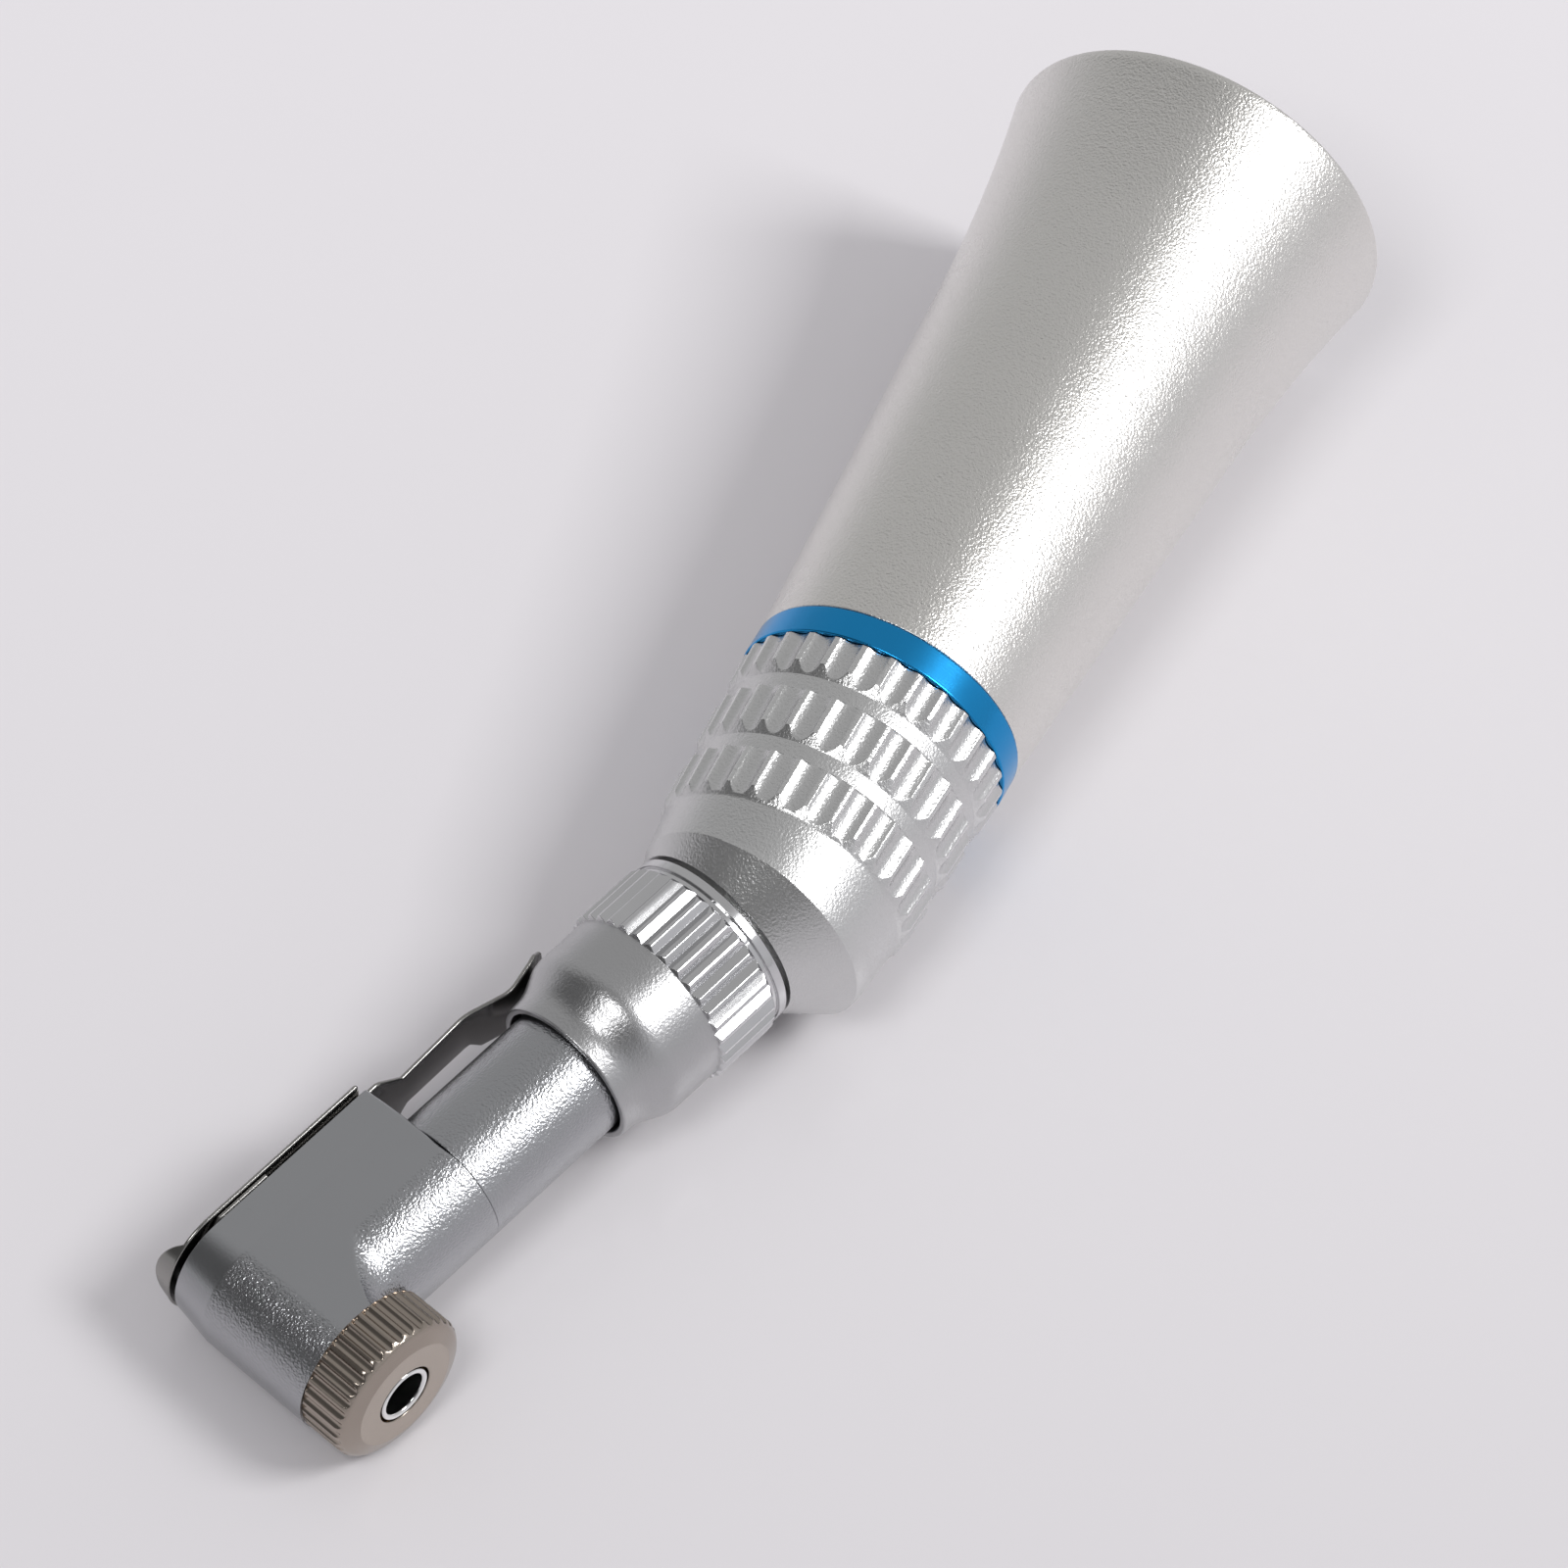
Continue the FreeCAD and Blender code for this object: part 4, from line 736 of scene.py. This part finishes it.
class HANDPIECE_OT_collar(bpy.types.Operator):
    """Build the fluted lock collar with its satin nose"""

    bl_idname = "handpiece.collar"
    bl_label = "Lock collar"

    def execute(self, context):
        size = context.scene.handpiece_sizes
        top, nose = size.collar_radius / MM, size.nose_radius / MM
        depth, half_width, chamfer = 0.3, 0.405, 0.22
        start, relief, rib, rib_end, tip = 5.25, 5.8, 6.1, 9.85, 15.8
        foot_r, relief_r, inner_r, mouth_r, tip_r = 5.05, 4.895, 4.26, 3.72, 4.08
        front = rounded([(start, inner_r, 0.05), (start, foot_r, 0.12), (relief, foot_r, 0.05),
                         (relief, relief_r, 0.02), (rib, relief_r, 0.02), (rib, top - chamfer, 0.03),
                         (rib + chamfer, top, 0.06), (rib_end, top, 0.05), (rib_end + 0.1, nose, 0.05),
                         (12.6, nose)], 6)
        # The nose turns down to this slope, runs straight and turns back along the neck
        fall = math.radians(26.0)
        straight = [(13.5, nose - 0.208), (13.83, nose - 0.369), (14.17, nose - 0.535)]
        foot = (15.1, 4.13)
        turn_first = arc_from((12.6, nose), 0.0, straight[0], 14)
        turn_second = arc_from(straight[2], -math.tan(fall), foot, 14)
        end = rounded([foot, (tip, tip_r, 0.10), (tip, mouth_r, 0.08), (15.2, mouth_r),
                       (13.5, inner_r), (start, inner_r)], 6)
        profile = np.vstack([filled(front, 0.3), turn_first, straight, turn_second, end[:-1]])

        s, r = profile[:, :1], profile[:, 1:]
        groove = VeeGroove(top - depth, depth / half_width)
        ribbed = (s > relief + 0.01) & (s < rib_end + 0.11) & (r > 4.8)
        spread = (size.collar_count, QUARTER_TURN, [0.0, 0.06, 0.5, 0.93, 1.0], [0.3, 1.0])
        turns, radius = fluted(profile, ribbed, groove, groove.edge(top), spread, 0.018)
        satin = np.clip((s - rib_end - 0.02) / 0.08, 0.0, 1.0) * np.ones_like(radius)
        skin("collar_skin", "lock_collar", ring_points(s, radius, turns, NECK), satin=satin)
        return {"FINISHED"}


class HANDPIECE_OT_neck(bpy.types.Operator):
    """Build the neck tube"""

    bl_idname = "handpiece.neck"
    bl_label = "Neck"

    def execute(self, context):
        neck = context.scene.handpiece_sizes.neck_radius / MM
        plug, bore, groove_r, start, stop = 2.96, 2.3, 2.49, 7.8, 27.5
        groove, groove_end, shoulder, joint = 10.3, 10.9, 15.2, 23.98
        outline = rounded([(start, bore), (start, plug, 0.1), (groove, plug), (groove, groove_r),
                           (groove_end, groove_r), (groove_end, plug), (shoulder, plug),
                           (shoulder, neck, 0.05), (joint, neck, 0.05), (joint, plug, 0.02),
                           (stop, plug, 0.05), (stop, bore)], 5, closed=True)
        turned_skin("neck_skin", "neck_tube", filled(outline, 1.2, closed=True), NECK, 192, "neck")
        return {"FINISHED"}


class HANDPIECE_OT_head(bpy.types.Operator):
    """Build the flat-sided head block with its concave run-out and drafted back"""

    bl_idname = "handpiece.head"
    bl_label = "Head block"

    def execute(self, context):
        size = context.scene.handpiece_sizes
        half = size.neck_radius / MM
        crease, top = -size.head_crease / MM, -size.head_top / MM
        rear, fillet, round_r, edge = 24.0, 30.0, 2.6, 0.06
        draft, nose_sweep = math.tan(math.radians(9.0)), quarter(34)[1:]
        sides = np.concatenate([np.linspace(24.25, 29.8, 12), np.linspace(fillet, 33.4, 60),
                                np.linspace(33.6, NOSE_CENTRE, 4)])

        def reach_at(s):
            """Radius of the neck and its concave flare, an arc that starts at the fillet."""
            past = np.clip(s - fillet, 0.0, round_r * 0.9999)
            return half + round_r - np.sqrt(round_r ** 2 - past ** 2)

        def outline(h, inset=0.0):
            """The block's plan at a height, drawn in to the neck's flare above the bend.

            Below the crease the width shrinks by the draft, and an inset rounds the edge.
            """
            width = half - max(0.0, crease - h) * draft
            wall = np.linspace(0.0, width - 0.26, 8)
            s, z = block_plan(rear, width, 0.22, wall, sides, nose_sweep, inset)
            if h > 0.0:
                z = np.minimum(z, root(reach_at(s) ** 2 - h ** 2))
                start = fillet + root(round_r ** 2 - (half + round_r - h) ** 2) if h > half else rear
                s = np.maximum(s, start)
            elif inset > 0.0:
                s = np.maximum(s, rear + inset)
                z = np.maximum(0.0, z - inset * np.minimum(1.0, z / (0.5 * width)))
            lower = np.stack([s[::-1], -z[::-1]], 1)[1:-1]
            return np.vstack([np.stack([s, z], 1), lower])

        base = outline(-1.0)
        turns = np.arctan2(base[:, 1], base[:, 0] - BUR_S)

        def circle(radius):
            """A circle round the bur's axis, with the points at the outline's angles."""
            return np.stack([BUR_S + radius * np.cos(turns), radius * np.sin(turns)], 1)

        # From the hole in the back face, over the edge, up the block and down the bore
        hole, bush, room, thread, bush_end, thread_end = 1.53, 2.2, 2.82, 3.01, -4.2, 2.95
        rows = [(circle(hole), -4.25), (circle(hole), top + 0.04), (circle(hole + 0.04), top)]
        for lift in np.linspace(QUARTER_TURN, 0.0, 7):
            height = top + edge * (1.0 - math.sin(lift))
            rows.append((outline(top + edge, edge * (1.0 - math.cos(lift))), height))
        heights = np.concatenate([
            np.linspace(top + edge + 0.15, crease - 0.05, 6),
            crease + np.array([-0.012, 0.012, 0.06]), np.linspace(-2.4, -0.1, 8),
            half * np.sin(np.linspace(0.02, QUARTER_TURN - 0.005, 44)),
            half + (CAP_SEAT - 0.05 - half) * np.linspace(0.03, 1.0, 18) ** 2])
        rows += [(outline(h), h) for h in heights]
        rows.append((outline(CAP_SEAT - 0.02), CAP_SEAT))
        rows += [(circle(radius), h) for radius, h in (
            (thread, CAP_SEAT), (thread, thread_end), (room, thread_end), (room, crease),
            (bush, crease), (bush, bush_end), (hole, bush_end))]
        flat = np.stack([row for row, height in rows])
        s, z = flat[..., 0], flat[..., 1]
        h = np.array([height for row, height in rows])[:, None] * np.ones_like(s)

        # The grain is deepest on the neck's flare and on the nose
        flush = np.abs(np.hypot(h, z) - reach_at(s)) < 0.03
        on_neck = flush & (s < fillet + round_r) & (np.abs(z) < half - 0.01)
        on_nose = np.clip((s - NOSE_CENTRE) / 0.25, 0.0, 1.0) * np.clip((h - crease) / 0.1, 0.0, 1.0)
        coarse = np.maximum(np.where(on_neck, 1.0, 0.12), on_nose)
        local = np.stack([s, h, z], -1)
        skin("head_skin", "head_housing", placed(local, NECK), coarse=coarse)
        return {"FINISHED"}


class HANDPIECE_OT_cap(bpy.types.Operator):
    """Build the knurled end cap and the bur tube seen in it"""

    bl_idname = "handpiece.cap"
    bl_label = "End cap and bur tube"

    def execute(self, context):
        size = context.scene.handpiece_sizes
        top, depth, cutter = size.cap_radius / MM - 0.003, 0.16, 0.30
        edge_r, face_r, lean = 0.58, 2.95, math.radians(20.5)
        thread, inner_r, hole_r, deep = 3.0, 2.28, 1.62, CAP_FACE - 0.85

        # A straight side, a round edge tangent to it and to the cone, then the flat face
        cone_r = top - edge_r * (1.0 - math.sin(lean))
        cone_h = CAP_FACE - (cone_r - face_r) * math.tan(lean)
        edge_h = cone_h - edge_r * math.cos(lean)
        sweep = np.linspace(0.0, QUARTER_TURN - lean, 14)[:, None]
        arc = np.hstack([edge_h + edge_r * np.sin(sweep), top - edge_r * (1.0 - np.cos(sweep))])
        low = rounded([(CAP_SEAT - 0.9, inner_r), (CAP_SEAT - 0.9, thread, 0.1), (CAP_SEAT, thread),
                       (CAP_SEAT, top, 0.08), (edge_h, top)], 6)[:-1]
        high = rounded([(cone_h, cone_r), (CAP_FACE, face_r, 0.10), (CAP_FACE, hole_r, 0.06),
                        (deep, hole_r), (deep, inner_r)], 6)[1:]
        profile = filled(np.vstack([low, arc, high]), 0.25)

        h, r = profile[:, :1], profile[:, 1:]
        groove = RoundGroove(top - depth + cutter, cutter)
        ribbed = (h > CAP_SEAT + 0.05) & (r > 3.2)
        spread = (size.cap_count, QUARTER_TURN, [0.0, 0.35, 0.65, 0.9, 1.0], [0.35, 1.0])
        turns, radius = fluted(profile, ribbed, groove, groove.edge(top), spread, 0.03)
        skin("cap_skin", "end_cap", ring_points(h, radius, turns, BUR))

        hole, outer, back = size.bur_hole / MM, 1.5, -4.45
        tube = rounded([(back, hole, 0.04), (back, outer, 0.06), (CAP_FACE, outer, 0.09),
                        (CAP_FACE, hole, 0.13)], 8, closed=True)
        turned_skin("bur_tube_skin", "bur_tube", filled(tube, 1.0, closed=True), BUR, 128, "tube")
        return {"FINISHED"}


def cover_plate(low, thick, half):
    """The latch cover: its plan at each level, drawn in towards its middle line.

    The rim is half a circle in section, and both faces run in to the middle line.
    """
    rear, edge, wall = 24.2, 0.5 * thick, np.linspace(0.0, half - 0.15, 6)
    side = np.linspace(rear + 0.15, NOSE_CENTRE, 24)[:-1]
    s, z = block_plan(rear, half, 0.12, wall, side, quarter(34))
    s = np.concatenate([s, s[::-1][1:-1]])
    z = np.concatenate([z, -z[::-1][1:-1]])
    middle_s = np.clip(s, rear + half, NOSE_CENTRE)
    turn = np.linspace(0.0, math.pi, 13)
    heights = low - edge * (1.0 - np.cos(turn))
    levels = np.concatenate([[low, low], heights, [low - thick, low - thick]])
    away = np.concatenate([[half, 1.0], edge - edge * np.sin(turn), [1.0, half]])
    share = (away / half)[:, None]
    parts = np.broadcast_arrays(s + (middle_s - s) * share, levels[:, None], z * (1.0 - share))
    return np.stack(parts, -1)


def cover_lip(low, thick, half):
    """The lip of the cover: a short wall round the nose, whose top is an arc of radius crown."""
    crown, sunk, wall, aim = 2.0, 1.15, 0.5 * 0.22, math.radians(28.0)
    side = math.asin(math.sqrt(crown ** 2 - sunk ** 2) / half)
    place = aim + np.linspace(-side, side, 48)[:, None]
    rise = root(crown ** 2 - (half * np.sin(place - aim)) ** 2) - sunk
    turn = np.linspace(0.0, math.pi, 9)[None, :]
    bulge = np.minimum(wall, rise) * np.sin(turn)
    height = low - thick - np.maximum(0.0, rise - wall) - bulge
    across = np.broadcast_to(half - wall + wall * np.cos(turn), height.shape)
    base = np.full_like(place, low - 0.5 * thick)
    distance = np.hstack([across[:, :1], across, across[:, -1:]])
    height = np.hstack([base, height, base])
    return capped(np.stack([NOSE_CENTRE + distance * np.cos(place), height,
                            distance * np.sin(place)], -1))


def lever_strip():
    """The latch lever: a strip carried along its bent side view, with half-round edges.

    Its bends are straight runs smoothed by a moving mean. Each section stands square to the
    run: (run - offset x slope, lift + offset), both over root(1 + slope^2).
    """
    gauge, middle, out = 0.25, -5.255, 0.02
    bends = np.array([(34.8, 0.0), (21.7, 0.0), (17.2, -0.15), (14.65, 0.56), (13.4, 0.24),
                      (12.6, 0.04), (11.9, -0.25)])
    run = np.concatenate([np.linspace(34.8, 22.0, 50), np.linspace(21.9, 11.905, 110)])
    lift = np.interp(-run, -bends[:, 0], bends[:, 1])
    smooth = np.convolve(np.pad(lift, 5, mode="edge"), np.ones(11) / 11.0, mode="valid")
    lift = np.where((run < 21.0) & (run > 12.3), smooth, lift)

    # How far the strip reaches to each side of the middle line: (along, one side, other side)
    sides = np.array([(11.9, 0.8, 1.45), (12.4, 1.3, 1.95), (16.6, 1.3, 1.95), (17.2, 1.3, 1.3),
                      (21.7, 1.15, 1.15), (23.2, 2.45, 2.45), (29.4, 2.45, 2.45), (30.38, 2.45, 2.2),
                      (30.4, 3.1, 2.19), (33.8, 3.1, 1.7), (34.8, 2.0, 1.1)])
    upper, under = (np.interp(run, sides[:, 0], sides[:, side])[:, None] for side in (1, 2))
    slope = np.gradient(lift, run)[:, None]
    scale = 1.0 / np.sqrt(1.0 + slope ** 2)
    turn = np.linspace(-QUARTER_TURN, QUARTER_TURN, 9)
    bulge, rise = 0.5 * gauge * np.cos(turn), 0.5 * gauge * np.sin(turn)
    z = np.hstack([upper - 0.5 * gauge + bulge, -(under - 0.5 * gauge + bulge[::-1])])
    offset = np.hstack([rise, rise[::-1]])
    s = run[:, None] - offset * slope * scale
    h = middle + lift[:, None] + offset * scale
    return capped(np.stack([s, h, z], -1), out)


class HANDPIECE_OT_latch(bpy.types.Operator):
    """Build the latch cover plate with its lip and the bent lever under it"""

    bl_idname = "handpiece.latch"
    bl_label = "Latch"

    def execute(self, context):
        low, thick, half = -5.43, 0.22, 3.195
        for name, node, local in (("cover_skin", "latch_cover", cover_plate(low, thick, half)),
                                  ("cover_lip_skin", "latch_cover", cover_lip(low, thick, half)),
                                  ("lever_skin", "latch_lever", lever_strip())):
            skin(name, node, placed(local, NECK), closed=False)
        return {"FINISHED"}


class HANDPIECE_OT_inner(bpy.types.Operator):
    """Give every CAD solid that stays its finish, with smooth turned faces"""

    bl_idname = "handpiece.inner"
    bl_label = "Shafts, gears, bearings and screws"

    def execute(self, context):
        for name, node in NODES.items():
            node.data.materials.clear()
            node.data.materials.append(FINISHES[SLOTS[name]])
            if node.hide_render:
                continue
            node.data.polygons.foreach_set("use_smooth", np.ones(len(node.data.polygons), bool))
            node.modifiers.new("Weld", "WELD").merge_threshold = 1e-6
            node.modifiers.new("Edges", "EDGE_SPLIT").split_angle = math.radians(28.0)
        return {"FINISHED"}


# Stage


def spot(x, y, z):
    """A place in millimetres of the rear body's frame."""
    return tuple(placed(np.array([x, y, z], float), REAR))


def softbox(name, place, aim, side, power):
    """A square studio lamp that faces a point."""
    lamp = bpy.data.lights.new(name, "AREA")
    lamp.size, lamp.energy = side, power
    holder = bpy.data.objects.new(name, lamp)
    holder.location = place
    holder.rotation_euler = (Vector(aim) - Vector(place)).to_track_quat("-Z", "Y").to_euler()
    bpy.context.scene.collection.objects.link(holder)


def table_finish(colour):
    """A pale glossy table with painted light: its colour is a little lighter towards the top of the
    picture and darker towards the bottom.
    """
    make = Finish("Pale table")
    place = make.place()
    cloud = make.noise({"Vector": place, "Scale": 9.0})
    axis, far = (CAMERA_UP - 0.25 * CAMERA_RIGHT) @ REAR[1], 60.0 * MM
    # Painted light and shade: the table's colour is darkened towards the bottom of the picture and
    # lightened towards the top
    base = make.mix(make.share(place, axis, -far, far), toned(colour, 0.80), toned(colour, 1.08))
    rough = make.math("MULTIPLY_ADD", cloud, 0.06, 0.22)
    return make.done(base, rough, **{"Specular IOR Level": 0.25})


def studio_world():
    """A room that camera, mirror and see-through rays meet, and an even light for the rest."""
    world = bpy.data.worlds.new("Studio")
    world.use_nodes = True
    make = Nodes(world.node_tree)
    way_seen, high, smooth = make.place("Generated"), (0.0, 0.0, 1.0), "SMOOTHSTEP"

    # The room is dark behind the camera, pale over the motor end, palest by the key lamp
    # and pale all round along the horizon
    dark, pale, palest, horizon = (0.12,) * 3, (0.50,) * 3, (0.64, 0.64, 0.66), (0.60, 0.60, 0.61)
    room = make.mix(make.share(way_seen, REAR_WAY, -0.08, 0.36, smooth), dark, pale)
    room = make.mix(make.share(way_seen, -REAR[1][1], 0.30, 0.95, smooth), room, palest)
    room = make.mix(make.share(way_seen, high, 0.04, 0.24, smooth), horizon, room)
    shown = make.add("ShaderNodeBackground", {"Color": room})
    dim = make.add("ShaderNodeBackground", {"Color": (0.9, 0.89, 0.92), "Strength": 0.53})
    rays = make.add("ShaderNodeLightPath").outputs
    seen = make.math("MAXIMUM", rays["Is Camera Ray"], rays["Is Glossy Ray"])
    seen = make.math("MAXIMUM", seen, rays["Is Transmission Ray"])
    blend = make.add("ShaderNodeMixShader", {0: seen, 1: dim.outputs[0], 2: shown.outputs[0]})
    make.add("ShaderNodeOutputWorld", {"Surface": blend.outputs[0]})
    return world


class HANDPIECE_OT_stage(bpy.types.Operator):
    """Set the pale table, the soft lamps, the world and the camera"""

    bl_idname = "handpiece.stage"
    bl_label = "Table, lamps and camera"

    def execute(self, context):
        scene = context.scene
        side = 3.0
        mesh = bpy.data.meshes.new("table")
        corners = [(-side, -side, 0), (side, -side, 0), (side, side, 0), (-side, side, 0)]
        mesh.from_pydata(corners, [], [(0, 1, 2, 3)])
        mesh.materials.append(table_finish(scene.handpiece_colours.floor))
        floor = bpy.data.objects.new("table", mesh)
        scene.collection.objects.link(floor)
        scene.world = studio_world()
        middle = spot(10, 0, 0)
        softbox("key lamp", spot(120, -320, 330), middle, 0.16, 1.2)
        softbox("front lamp", spot(-200, 0, 400), middle, 0.13, 0.48)

        lens = bpy.data.cameras.new("Camera")
        lens.sensor_width, lens.lens = 36.0, 143.64
        lens.clip_start, lens.clip_end = 0.01, 20.0
        camera = bpy.data.objects.new("Camera", lens)
        scene.collection.objects.link(camera)
        ways = np.array([CAMERA_RIGHT, CAMERA_UP, np.cross(CAMERA_RIGHT, CAMERA_UP)]) @ REAR[1]
        turn = Matrix(ways.T.tolist()).to_4x4()
        camera.matrix_world = Matrix.Translation(spot(*CAMERA_PLACE)) @ turn
        scene.camera = camera
        scene.view_settings.view_transform = "Standard"
        return {"FINISHED"}


class HANDPIECE_PT_panel(bpy.types.Panel):
    """The pieces of the handpiece, in the order they are built"""

    bl_idname = "HANDPIECE_PT_panel"
    bl_label = "Contra-angle handpiece"
    bl_space_type = "VIEW_3D"
    bl_region_type = "UI"
    bl_category = "Handpiece"

    def draw(self, context):
        layout = self.layout
        for kind in OPERATORS:
            layout.operator(kind.bl_idname)
        for group in (context.scene.handpiece_sizes, context.scene.handpiece_colours):
            box = layout.box()
            for key in group.__annotations__:
                box.prop(group, key)


OPERATORS = (
    HANDPIECE_OT_finishes, HANDPIECE_OT_sleeve, HANDPIECE_OT_grip, HANDPIECE_OT_collar,
    HANDPIECE_OT_neck, HANDPIECE_OT_head, HANDPIECE_OT_cap, HANDPIECE_OT_latch,
    HANDPIECE_OT_inner, HANDPIECE_OT_stage,
)
CLASSES = (HandpieceSizes, HandpieceColours, *OPERATORS, HANDPIECE_PT_panel)


def register():
    for kind in CLASSES:
        bpy.utils.register_class(kind)
    bpy.types.Scene.handpiece_sizes = PointerProperty(type=HandpieceSizes)
    bpy.types.Scene.handpiece_colours = PointerProperty(type=HandpieceColours)


def unregister():
    del bpy.types.Scene.handpiece_sizes
    del bpy.types.Scene.handpiece_colours
    for kind in reversed(CLASSES):
        bpy.utils.unregister_class(kind)


def main():
    register()
    for kind in OPERATORS:
        group, name = kind.bl_idname.split(".")
        getattr(getattr(bpy.ops, group), name)()


if __name__ == "__main__":
    main()
